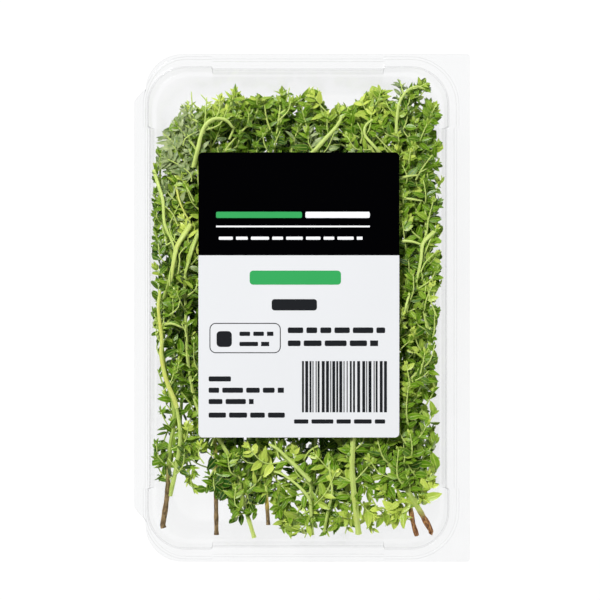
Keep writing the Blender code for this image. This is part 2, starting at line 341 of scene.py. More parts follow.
@dataclass(frozen=True)
class StemFinish:
    """Stem skin: green to gold where young, amber then brown or rusty bark, pale where cut.

    Attributes:
        name: the material's name.
        young, grown_green, gold, amber: the skin as it yellows towards the wood.
        bark, bark_pale, rust, rust_pale: dark and light streaks of the two barks.
        pith: the cut face.
        pit: dark specks in the bark.
    """

    name: str = "thyme_stem"
    young: Colour = (0.58, 0.72, 0.19)
    grown_green: Colour = (0.27, 0.40, 0.040)
    gold: Colour = (0.64, 0.57, 0.060)
    amber: Colour = (0.60, 0.34, 0.050)
    bark: Colour = (0.105, 0.062, 0.024)
    bark_pale: Colour = (0.330, 0.225, 0.100)
    rust: Colour = (0.150, 0.048, 0.016)
    rust_pale: Colour = (0.480, 0.240, 0.085)
    pith: Colour = (0.62, 0.60, 0.34)
    pit: Colour = (0.035, 0.016, 0.009)

    def make(self) -> bpy.types.Material:
        """Build the material."""
        s = Shading(self.name)
        cut, wood, tone = s.grown()
        grain_place = s.node("ShaderNodeTexCoord", out="Object")
        stretched = s.node("ShaderNodeMapping", None, {"Vector": grain_place, "Scale": (1.0, 0.16, 1.0)})
        grain = s.node("ShaderNodeTexNoise", None, {"Vector": stretched, "Scale": 2600.0, "Detail": 4.0})
        patch = s.noise(260.0, 3.0)
        uneven = tone + (patch - 0.5) * 0.6
        skin = s.blend(s.step(uneven, 0.2, 0.8), self.grown_green, self.young)
        skin = s.blend(s.step(uneven, 1.0, 1.7), skin, self.gold)
        skin = s.blend(s.step(wood, 0.10, 0.35) * s.step(tone, 0.5, 1.0) * 0.75, skin, self.amber)
        streak = s.step(grain, 0.38, 0.62)
        bark = s.blend(streak, self.bark, self.bark_pale)
        bark = s.blend(0.0 - cut, bark, s.blend(streak, self.rust, self.rust_pale))
        bark = s.blend(s.step(s.noise(900.0, 2.0), 0.56, 0.64) * 0.7, bark, self.pit)
        woody = s.step(wood + (patch - 0.5) * 0.35, 0.35, 0.65)
        colour = s.blend(woody, skin, bark)
        colour = s.blend(cut, colour, self.pith)
        s.set(Base_Color=colour, Roughness=0.42 + woody * 0.30, Specular_IOR_Level=0.4)
        s.bump(grain * (0.3 + woody) + patch * 0.2, 0.00014, 0.8)
        return s.material


@dataclass(frozen=True)
class ClearPlasticFinish:
    """Thin clear sheet: light passes straight through and its gloss grows at a slant.

    Attributes:
        name: the material's name.
        tint, gloss: colours of what passes through and of the shine.
        roughness, waviness: how soft the shine is, and the height of the sheet's waves.
        least, rise, steepness: share of shine seen face on, its growth and how late it comes.
    """

    name: str
    tint: Colour = (0.985, 0.986, 0.987)
    gloss: Colour = (0.57, 0.575, 0.58)
    roughness: float = 0.06
    waviness: float = 0.00006
    least: float = 0.006
    rise: float = 0.83
    steepness: float = 4.2

    def make(self) -> bpy.types.Material:
        """Build the material."""
        s = Shading(self.name)
        wave = s.noise(55.0, 2.0)
        ripple = s.noise(420.0, 2.0)
        normal = s.node(
            "ShaderNodeBump", None, {"Height": wave + ripple * 0.12, "Distance": self.waviness, "Strength": 0.6}
        )
        clear = s.node("ShaderNodeBsdfTransparent", None, {"Color": (*self.tint, 1.0)})
        gloss = s.node(
            "ShaderNodeBsdfGlossy", None,
            {"Color": (*self.gloss, 1.0), "Roughness": self.roughness + ripple * 0.05, "Normal": normal},
        )
        facing = s.node("ShaderNodeLayerWeight", None, {"Blend": 0.5, "Normal": normal}, "Facing")
        slant = self.least + self.rise * facing ** self.steepness
        mixed = s.node("ShaderNodeMixShader", None, {0: slant, 1: clear, 2: gloss})
        s.tree.links.new(mixed.socket, s.output.inputs["Surface"])
        s.tree.nodes.remove(s.shader)
        return s.material


@dataclass(frozen=True)
class PaperFinish:
    """Coated label paper or a printed ink on it.

    Attributes:
        name: the material's name.
        colour: its colour.
        shift: how far the colour wanders.
        roughness, specular: how soft and how strong its shine is.
    """

    name: str
    colour: Colour
    shift: float = 0.03
    roughness: float = 0.45
    specular: float = 0.25

    def make(self) -> bpy.types.Material:
        """Build the material."""
        s = Shading(self.name)
        cloud = s.noise(28.0, 3.0)
        fibre = s.noise(2400.0, 3.0, 0.6)
        other = tuple(min(1.0, c * (1.0 + 2.0 * self.shift) + 0.2 * self.shift * c) for c in self.colour)
        s.set(Base_Color=s.blend(cloud * 0.7 + fibre * 0.3, self.colour, other))
        s.set(Roughness=self.roughness + fibre * 0.12, Specular_IOR_Level=self.specular)
        s.bump(fibre, 0.00002, 0.5)
        return s.material


@dataclass(frozen=True)
class FloorFinish:
    """Plain pale studio floor."""

    name: str = "studio_floor"
    colour: Colour = (0.05, 0.05, 0.05)
    other: Colour = (0.06, 0.06, 0.06)
    glow: float = 0.968

    def make(self) -> bpy.types.Material:
        """Build the material."""
        s = Shading(self.name)
        grain = s.noise(900.0, 2.0)
        s.set(Base_Color=s.blend(grain * 0.15, self.colour, self.other), Roughness=0.9)
        s.set(Specular_IOR_Level=0.0, Emission_Color=(1.0, 1.0, 1.0), Emission_Strength=self.glow)
        return s.material


# ============================================================ mesh gathering
class Sheaf:
    """Collects many small closed shapes into one mesh, with growth values on the vertices."""

    def __init__(self) -> None:
        """Start empty."""
        self.points: list[np.ndarray] = []
        self.values: list[np.ndarray] = []
        self.faces: list[tuple[int, ...]] = []
        self.count = 0

    def add(self, points: np.ndarray, faces: Iterable[tuple[int, ...]], values: np.ndarray) -> None:
        """Add one closed shape.

        Args:
            points: its vertices.
            faces: its faces, counted from its own first vertex.
            values: three growth values for each vertex.
        """
        start = self.count
        self.points.append(points)
        self.values.append(values)
        self.faces.extend(tuple(start + i for i in face) for face in faces)
        self.count += len(points)

    def build(self, name: str, finish: bpy.types.Material, sharp: float = 60.0) -> bpy.types.Object:
        """Make the object.

        Args:
            name: the piece's name.
            finish: its material.
            sharp: edges bent more than this many degrees stay sharp.

        Returns:
            The new object, linked to the scene.
        """
        mesh = bpy.data.meshes.new(name)
        mesh.from_pydata(np.vstack(self.points).tolist(), [], self.faces)
        layer = mesh.attributes.new(GROWTH, "FLOAT_VECTOR", "POINT")
        layer.data.foreach_set("vector", np.vstack(self.values).astype(np.float32).ravel())
        return placed(name, mesh, finish, sharp)


def smooth_line(points: Sequence[Sequence[float]], spacing: float) -> np.ndarray:
    """Evenly spaced points on a smooth curve through a few given ones.

    Args:
        points: the curve's own points.
        spacing: distance between the points returned.

    Returns:
        The points, one row each.
    """
    given = np.asarray(points, float)
    padded = np.vstack([2 * given[0] - given[1], given, 2 * given[-1] - given[-2]])
    fine = []
    for a, b, c, d in zip(padded, padded[1:], padded[2:], padded[3:]):
        for share in np.linspace(0.0, 1.0, SPLINE_STEPS, endpoint=False):
            square, cube = share * share, share ** 3
            bend, twist = 2 * a - 5 * b + 4 * c - d, 3 * b - a - 3 * c + d
            fine.append(0.5 * (2 * b + (c - a) * share + bend * square + twist * cube))
    fine.append(given[-1])
    fine = np.array(fine)
    run = np.concatenate([[0.0], np.cumsum(np.linalg.norm(np.diff(fine, axis=0), axis=1))])
    count = max(3, int(round(run[-1] / spacing)) + 1)
    wanted = np.linspace(0.0, run[-1], count)
    return np.column_stack([np.interp(wanted, run, fine[:, axis]) for axis in range(3)])


def unit(vector: np.ndarray) -> np.ndarray:
    """The vector at length one."""
    return vector / max(LEAST_LENGTH, float(np.linalg.norm(vector)))


# ============================================================ the punnet
@dataclass
class TubShape:
    """Outlines and heights that the tray, the lid and their contents share.

    Attributes:
        centre_x, half_x, half_y, corner: the mouth's middle, half sizes and corner radius.
        bulge, snap_x, snap_y, ramp: the snap corners' rise, where they start and their run-in.
        ramp_rows: (share of the run-in, share of the bulge) up onto a snap corner.
        parting, deck_under: top of the tray's flange and underside of the lid's deck.
        floor: top of the tray's floor.
        wall: (height, how far the wall has come in, share of the bulge) from the mouth down.
        shoulder_z, shoulder_in, deck_in: height and inset of the lid's shoulder, inset of its deck.
        corner_shrink: corner radius lost for each length the wall comes in.
        corner_steps: flats round one corner.
    """

    centre_x: float = -1.4 * MM
    half_x: float = 52.9 * MM
    half_y: float = 85.0 * MM
    corner: float = 13.0 * MM
    bulge: float = 0.8 * MM
    snap_x: float = 31.0 * MM
    snap_y: float = 64.6 * MM
    ramp: float = 0.9 * MM
    ramp_rows: tuple[tuple[float, float], ...] = ((0.0, 0.0), (0.35, 0.15), (0.65, 0.85), (1.0, 1.0))
    parting: float = 22.0 * MM
    deck_under: float = 28.3 * MM
    floor: float = 0.6 * MM
    shoulder_z: float = 26.4 * MM
    shoulder_in: float = 1.4 * MM
    deck_in: float = 3.4 * MM
    corner_shrink: float = 0.4
    wall: tuple[tuple[float, float, float], ...] = (
        (22.0 * MM, 0.0, 1.0), (21.2 * MM, 0.35 * MM, 1.0), (17.6 * MM, 1.6 * MM, 1.0),
        (17.0 * MM, 1.85 * MM, 0.8),
        (16.4 * MM, 2.3 * MM, 0.15), (15.9 * MM, 2.55 * MM, 0.0), (9.5 * MM, 5.15 * MM, 0.0),
        (3.6 * MM, 7.65 * MM, 0.0), (2.1 * MM, 8.4 * MM, 0.0), (1.1 * MM, 9.4 * MM, 0.0),
        (0.6 * MM, 10.6 * MM, 0.0),
    )
    corner_steps: int = 12

    def loop(self, half_x: float, half_y: float, corner: float, bulge: float = 0.0) -> Loop:
        """Anticlockwise rounded rectangle whose corner stretches stand proud.

        Args:
            half_x: half its width.
            half_y: half its length.
            corner: corner radius.
            bulge: how far the corner stretches stand out.

        Returns:
            Its points.
        """
        points: Loop = []
        for quarter in range(4):
            turn = math.radians(90 * quarter)
            along = Vector((math.cos(turn), math.sin(turn)))
            outward = Vector((math.sin(turn), -math.cos(turn)))
            even = quarter % 2 == 0
            ahead, aside = (half_x, half_y) if even else (half_y, half_x)
            start, finish = (self.snap_x, self.snap_y) if even else (self.snap_y, self.snap_x)
            start = min(start, ahead - corner - self.ramp)
            finish = min(finish, aside - corner - self.ramp)
            local = [(0.0, aside)]
            for share, rise in self.ramp_rows:
                local.append((start - self.ramp * (1 - share), aside + bulge * rise))
            for step in range(self.corner_steps + 1):
                angle = math.radians(90 * step / self.corner_steps)
                reach = corner + bulge
                sine, cosine = math.sin(angle), math.cos(angle)
                local.append((ahead - corner + reach * sine, aside - corner + reach * cosine))
            for share, rise in reversed(self.ramp_rows):
                local.append((ahead + bulge * rise, finish - self.ramp * (1 - share)))
            for p, q in local:
                spot = along * p + outward * q
                points.append((self.centre_x + spot.x, spot.y))
        return points

    def wall_loop(self, inset: float, bulge: float, growth: float = 0.0) -> Loop:
        """The tub's outline where its wall has come in by inset."""
        corner = self.corner - self.corner_shrink * inset + growth
        return self.loop(self.half_x - inset + growth, self.half_y - inset + growth, corner, self.bulge * bulge)

    def inset_at(self, z: np.ndarray | float) -> np.ndarray | float:
        """How far the inner wall has come in at a height, the lid's shoulder included."""
        heights = [row[0] for row in self.wall][::-1] + [self.shoulder_z, self.deck_under]
        insets = [row[1] for row in self.wall][::-1] + [self.shoulder_in, self.deck_in]
        return np.interp(z, heights, insets)

    def confine(self, points: np.ndarray, margin: float = 0.5 * MM) -> np.ndarray:
        """Press points that would cross the plastic back inside it.

        Args:
            points: places, one row each.
            margin: distance kept to the plastic.

        Returns:
            The places, moved where needed.
        """
        kept = points.copy()
        kept[:, 2] = np.clip(kept[:, 2], self.floor + margin, self.deck_under - margin)
        inset = self.inset_at(kept[:, 2]) + margin
        corner = self.corner - self.corner_shrink * inset
        half_x, half_y = self.half_x - inset, self.half_y - inset
        x = np.clip(kept[:, 0] - self.centre_x, -half_x, half_x)
        y = np.clip(kept[:, 1], -half_y, half_y)
        past_x = np.maximum(0.0, np.abs(x) - (half_x - corner))
        past_y = np.maximum(0.0, np.abs(y) - (half_y - corner))
        reach = np.hypot(past_x, past_y)
        pull = np.where(reach > corner, corner / np.maximum(reach, LEAST_LENGTH), 1.0)
        kept[:, 0] = self.centre_x + np.sign(x) * (np.abs(x) - past_x * (1 - pull))
        kept[:, 1] = np.sign(y) * (np.abs(y) - past_y * (1 - pull))
        return kept


@dataclass
class ClearPunnet:
    """The formed tray and lid, one thin shell each.

    Attributes:
        shape: the outlines both halves share.
        sheet: thickness of the plastic.
        half_x, half_y: the flanges' half sizes, the tab included.
        tab, tab_low, tab_high: how far the thumb tab stands out, and its two ends.
        flange_corner, hinge_corner: corner radii on the opening side and at the hinge.
        gap: space between the two flanges.
        panel_top, panel_step: height of the lid's middle panel, and its rise over the deck.
        panel_half_x, panel_half_y, panel_corner: the panel's half sizes and corner radius.
        bead_out, bead_rise, bead_half: place, height and half width of the flanges' bead.
        bead_spare, bead_spread: least room to the opening edge, and its growth towards the mouth.
        squeeze: how far the bead is drawn in on the opening side.
        tab_reach: the opening edge is followed this far from the middle.
    """

    shape: TubShape = field(default_factory=TubShape)
    sheet: float = 0.40 * MM
    half_x: float = 59.6 * MM
    half_y: float = 90.2 * MM
    tab: float = 4.0 * MM
    tab_low: float = -77.7 * MM
    tab_high: float = 80.2 * MM
    flange_corner: float = 13.0 * MM
    hinge_corner: float = 0.8 * MM
    gap: float = 0.3 * MM
    panel_top: float = 29.4 * MM
    panel_step: float = 0.5 * MM
    panel_half_x: float = 33.7 * MM
    panel_half_y: float = 71.7 * MM
    panel_corner: float = 5.0 * MM
    bead_out: float = 3.1 * MM
    bead_rise: float = 0.35 * MM
    bead_half: float = 0.55 * MM
    bead_spare: float = 0.35 * MM
    bead_spread: float = 0.15
    squeeze: float = 0.876
    tab_reach: float = 79.0 * MM

    def flange_loop(self) -> Loop:
        """Anticlockwise flange outline: square at the hinge, round and tabbed at the opening."""
        left = self.tab - self.half_x
        points: Loop = []
        for y, first in ((-self.half_y, 270), (self.half_y, 0)):
            centre_y = y - math.copysign(self.hinge_corner, y)
            points += arc(self.half_x - self.hinge_corner, centre_y, self.hinge_corner, first, 4)
        reach = self.half_y - self.flange_corner
        points += arc(left + self.flange_corner, reach, self.flange_corner, 90, 12)
        points += self.tab_edge()
        points += arc(left + self.flange_corner, -reach, self.flange_corner, 180, 12)
        return points

    def tab_edge(self) -> Loop:
        """The opening edge with its wide tab, from the high end to the low one."""
        left = self.tab - self.half_x
        steps = ((0.6, 0.0), (0.8, 0.25), (1.35, 0.75), (1.7, 1.0))
        high = [(left - out * self.tab, self.tab_high - along * self.tab) for along, out in steps]
        low = [(left - out * self.tab, self.tab_low + along * self.tab) for along, out in steps]
        return high + low[::-1]

    def bead_loop(self, out: float) -> Loop:
        """Outline of the flange's stiffening bead, drawn in along the opening edge."""
        shape = self.shape
        loop = shape.loop(shape.half_x + out, shape.half_y + out, shape.corner + out, shape.bulge)
        turn = shape.centre_x - shape.half_x + shape.corner
        edge = self.tab_edge()[::-1]
        edge_x, edge_y = [row[0] for row in edge], [row[1] for row in edge]
        spare = self.bead_spare + self.bead_spread * (self.bead_out + self.bead_half - out)
        points: Loop = []
        for x, y in loop:
            if x < turn:
                x = turn + (x - turn) * self.squeeze
                if abs(y) < self.tab_reach:
                    x = max(x, float(np.interp(y, edge_y, edge_x)) + spare)
            points.append((x, y))
        return points

    def flange_rings(self, z: float) -> list[Ring]:
        """Rings of the bead, from the outside in, on one face of the flange."""
        rows = ((1.0, 0.0), (0.72, 0.9), (0.55, 1.0), (-0.55, 1.0), (-0.72, 0.9), (-1.0, 0.0))
        return [
            (self.bead_loop(self.bead_out + self.bead_half * out), z + self.bead_rise * up)
            for out, up in rows
        ]

    def tray_skin(self, drop: float, growth: float) -> list[Ring]:
        """One skin of the tray: its mouth's rolled edge, its wall and its floor."""
        rows = [(self.shape.wall_loop(-0.45 * MM, 1.0, growth), self.shape.parting - drop)]
        rows.append((self.shape.wall_loop(-0.12 * MM, 1.0, growth), self.shape.parting - 0.12 * MM - drop))
        for z, inset, bulge in self.shape.wall[1:]:
            rows.append((self.shape.wall_loop(inset, bulge, growth), z - drop))
        return rows

    def lid_skin(self, flange_z: float, drop: float, growth: float) -> list[Ring]:
        """One skin of the lid: rolled foot, wall, round shoulder, deck and middle panel."""
        deck = self.panel_top - self.panel_step - drop
        wall, shape = self.shape.wall_loop, self.shape
        rows = [
            (wall(-0.45 * MM, 1.0, growth), flange_z),
            (wall(-0.12 * MM, 1.0, growth), flange_z + 0.14 * MM),
        ]
        profile = (
            (0.06, 1.0, 5.3), (0.32, 1.0, 1.75), (0.42, 1.0, 1.45), (0.60, 1.0, 1.28), (2.10, 1.0, 0.12),
            (2.35, 1.0, 0.02), (2.60, 1.0, 0.0),
        )
        rows += [(wall(inset * MM, bulge, growth), deck - below * MM) for inset, bulge, below in profile]
        for out, up in ((0.75, 0.0), (0.45, 0.10), (0.15, 0.40), (-0.15, 0.46), (-0.6, 0.5)):
            half_x, half_y = self.panel_half_x + out * MM + growth, self.panel_half_y + out * MM + growth
            rows.append((shape.loop(half_x, half_y, self.panel_corner + out * MM + growth), deck + up * MM))
        return rows

    def shell(
        self, name: str, faces_z: tuple[float, float], skins: Sequence[list[Ring]], finish: bpy.types.Material
    ) -> bpy.types.Object:
        """Join two skins and the flange between them into one thin closed shell.

        Args:
            name: the piece's name.
            faces_z: heights of the flange on the two skins.
            skins: each skin's rings from the flange inwards.
            finish: the material.

        Returns:
            The new object.
        """
        bm = bmesh.new()
        edges = [[bm.verts.new((x, y, z)) for x, y in self.flange_loop()] for z in faces_z]
        band(bm, edges[0], edges[1])
        for edge, z, skin in zip(edges, faces_z, skins):
            rows = self.flange_rings(z) + skin
            rings = [[bm.verts.new((x, y, height)) for x, y in loop] for loop, height in rows]
            for one, other in zip(rings, rings[1:]):
                band(bm, one, other)
            bm.faces.new(rings[-1])
            self._plate(bm, edge, rings[0])
        return placed(name, mesh_from(name, bm), finish, 40.0)

    @staticmethod
    def _plate(bm: bmesh.types.BMesh, outer: list, hole: list) -> None:
        """Fill the level area between an outline and the hole in it."""
        edges = []
        for loop in (outer, hole):
            for i, vert in enumerate(loop):
                after = loop[(i + 1) % len(loop)]
                edges.append(bm.edges.get((vert, after)) or bm.edges.new((vert, after)))
        bmesh.ops.triangle_fill(bm, use_beauty=True, use_dissolve=False, edges=edges)

    def build(self) -> list[bpy.types.Object]:
        """Make the tray and the lid and hang them on their bodies.

        Returns:
            The two pieces.
        """
        z = self.shape.parting
        tray_finish = ClearPlasticFinish("clear_tray").make()
        tray_skins = (self.tray_skin(0.0, 0.0), self.tray_skin(self.sheet, self.sheet))
        tray = self.shell("formed_tray", (z, z - self.sheet), tray_skins, tray_finish)
        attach(tray, "base")
        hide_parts("punnet_base")
        low = z + self.gap
        lid_finish = ClearPlasticFinish("clear_lid").make()
        outer = self.lid_skin(low + self.sheet, 0.0, 0.0)
        inner = self.lid_skin(low, self.sheet, -self.sheet)
        lid = self.shell("formed_lid", (low + self.sheet, low), (outer, inner), lid_finish)
        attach(lid, "lid")
        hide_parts("punnet_lid")
        return [tray, lid]


# ============================================================ the label
class Ink(Enum):
    """The label's printed colours."""

    BLACK = "black"
    GREEN = "green"
    WHITE = "white"


@dataclass
class BareLabel:
    """Two-tone label with plain bars where print would be, and no lettering.

    Attributes:
        left, right, low, high: its edges.
        split: where the dark head meets the pale body.
        corner: its corner radius.
        base_z, paper, ink: height of its underside, and the paper's and the ink's thickness.
        empty_box, box_line, box_corner: the outlined box, its line's width and its corner radius.
        bar_corner: corner radius of a bar as a share of its short side.
        bar_least: narrower bars, in millimetres, keep square corners.
        seed: for the uneven lengths of the dashes and stripes.
    """

    left: float = -36.6 * MM
    right: float = 34.4 * MM
    low: float = -45.8 * MM
    high: float = 55.0 * MM
    split: float = 18.6 * MM
    corner: float = 1.5 * MM
    base_z: float = 29.44 * MM
    paper: float = 0.16 * MM
    ink: float = 0.02 * MM
    empty_box: Box = (3.9, 29.8, 29.1, 40.5)
    box_line: float = 0.32 * MM
    box_corner: float = 2.2 * MM
    bar_corner: float = 0.25
    bar_least: float = 3.0
    seed: int = 7

    @staticmethod
    def rounded(box: Box, corners: Box) -> Loop:
        """Rectangle with its own radius at each corner.

        Args:
            box: left, low, right and high edges.
            corners: radii at low left, low right, high right and high left.

        Returns:
            Its points, anticlockwise.
        """
        left, low, right, high = box
        places = ((left, low, 180), (right, low, 270), (right, high, 0), (left, high, 90))
        points: Loop = []
        for (x, y, first), radius in zip(places, corners):
            if radius <= 0:
                points.append((x, y))
                continue
            inward_x = radius if x == left else -radius
            inward_y = radius if y == low else -radius
            points += arc(x + inward_x, y + inward_y, radius, first, 5)
        return points

    @staticmethod
    def slab(bm: bmesh.types.BMesh, loop: Loop, low: float, high: float) -> None:
        """Add a flat closed slab."""
        rings = [[bm.verts.new((x, y, z)) for x, y in loop] for z in (low, high)]
        band(bm, rings[0], rings[1])
        bm.faces.new(rings[0][::-1])
        bm.faces.new(rings[1])

    def finished(self, name: str, bm: bmesh.types.BMesh, finish: PaperFinish) -> bpy.types.Object:
        """Make one printed layer and hang it on the lid."""
        made = placed(name, mesh_from(name, bm), finish.make())
        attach(made, "lid")
        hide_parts("label")
        return made

    def bars(self) -> dict[Ink, list[Box]]:
        """Plain bars for each ink: where headings, lines of print and stripes would be.

        Returns:
            Boxes of left, low, right and high edges in millimetres from the label's low left corner.
        """
        draw = random.Random(self.seed)
        boxes: dict[Ink, list[Box]] = {ink: [] for ink in Ink}
        boxes[Ink.GREEN] += [(6.2, 77.6, 36.6, 79.8), (18.1, 54.0, 50.4, 59.0)]
        boxes[Ink.WHITE] += [(37.8, 77.6, 60.6, 79.8), (6.2, 74.3, 60.6, 74.9)]
        boxes[Ink.WHITE] += self.words(draw, 7.2, 58.0, 69.9, 1.1)
        boxes[Ink.BLACK].append((25.9, 44.9, 41.9, 48.9))
        for low, right in ((36.9, 66.0), (32.3, 63.5)):
            boxes[Ink.BLACK] += self.words(draw, 31.6, right, low, 2.0)
        for low, right in ((19.8, 13.1), (15.8, 30.2), (11.8, 19.5), (7.0, 31.2)):
            boxes[Ink.BLACK] += self.words(draw, 3.6, right, low, 1.8)
        boxes[Ink.BLACK] += self.words(draw, 14.5, 26.5, 35.9, 1.5) + self.words(draw, 14.5, 25.0, 32.3, 1.5)
        boxes[Ink.BLACK].append((6.4, 32.0, 11.8, 37.6))
        x = 36.6
        while x < 66.6:
            width = draw.choice((0.36, 0.36, 0.70, 1.05))
            boxes[Ink.BLACK].append((x, 8.9, min(x + width, 67.1), 27.0))
            x += width + draw.choice((0.36, 0.45, 0.75))
        boxes[Ink.BLACK] += self.words(draw, 33.8, 66.0, 4.9, 1.5)
        return boxes

    @staticmethod
    def words(draw: random.Random, left: float, right: float, low: float, height: float) -> list[Box]:
        """A line of print as plain dashes of uneven length."""
        found = []
        x = left
        while x < right - 1.0:
            length = min(draw.uniform(3.5, 8.0), right - x)
            found.append((x, low, x + length, low + height))
            x += length + 1.1
        return found

    def outline(self, bm: bmesh.types.BMesh, box: Box, z: float) -> None:
        """Add the raised outline of an empty rounded box.

        Args:
            bm: mesh it joins.
            box: left, low, right and high edges.
            z: height of the paper under it.
        """
        left, low, right, high = box
        line, radius = self.box_line, self.box_corner
        outer = self.rounded(box, (radius,) * 4)
        inner = self.rounded((left + line, low + line, right - line, high - line), (radius - line,) * 4)
        rows = ((outer, z), (outer, z + self.ink), (inner, z + self.ink), (inner, z))
        rings = [[bm.verts.new((x, y, height)) for x, y in loop] for loop, height in rows]
        for one, other in zip(rings, rings[1:] + rings[:1]):
            band(bm, one, other)

    def build(self) -> list[bpy.types.Object]:
        """Make the paper and its printed layers.

        Returns:
            The pieces, paper first.
        """
        r = self.corner
        top = self.base_z + self.paper
        paper = bmesh.new()
        sheet_box = (self.left, self.low, self.right, self.high)
        self.slab(paper, self.rounded(sheet_box, (r, r, r, r)), self.base_z, top)
        made = [self.finished("label_paper", paper, PaperFinish("coated_paper", (0.665, 0.675, 0.692)))]
        head = bmesh.new()
        head_box = (self.left, self.split, self.right, self.high)
        self.slab(head, self.rounded(head_box, (0.0, 0.0, r, r)), top, top + self.ink)
        black = PaperFinish("black_ink", (0.0006, 0.0006, 0.0009), 0.2, 0.6, 0.0)
        made.append(self.finished("label_dark_head", head, black))
        inks = {
            Ink.BLACK: PaperFinish("dark_print", (0.012, 0.013, 0.015), 0.2, 0.6, 0.0),
            Ink.GREEN: PaperFinish("green_print", (0.020, 0.300, 0.075), 0.1, 0.45, 0.2),
            Ink.WHITE: PaperFinish("white_print", (0.78, 0.79, 0.80), 0.03, 0.45, 0.2),
        }
        for ink, boxes in self.bars().items():
            layer = bmesh.new()
            for left, low, right, high in boxes:
                box = (self.left + left * MM, self.low + low * MM, self.left + right * MM, self.low + high * MM)
                lift = self.ink if box[1] > self.split else 0.0
                short = min(box[2] - box[0], box[3] - box[1])
                radius = self.bar_corner * short if right - left > self.bar_least else 0.0
                self.slab(layer, self.rounded(box, (radius,) * 4), top + lift, top + lift + self.ink)
            if ink is Ink.BLACK:
                left, low, right, high = (edge * MM for edge in self.empty_box)
                box = (self.left + left, self.low + low, self.left + right, self.low + high)
                self.outline(layer, box, top)
            made.append(self.finished(f"label_{ink.value}_bars", layer, inks[ink]))
        return made


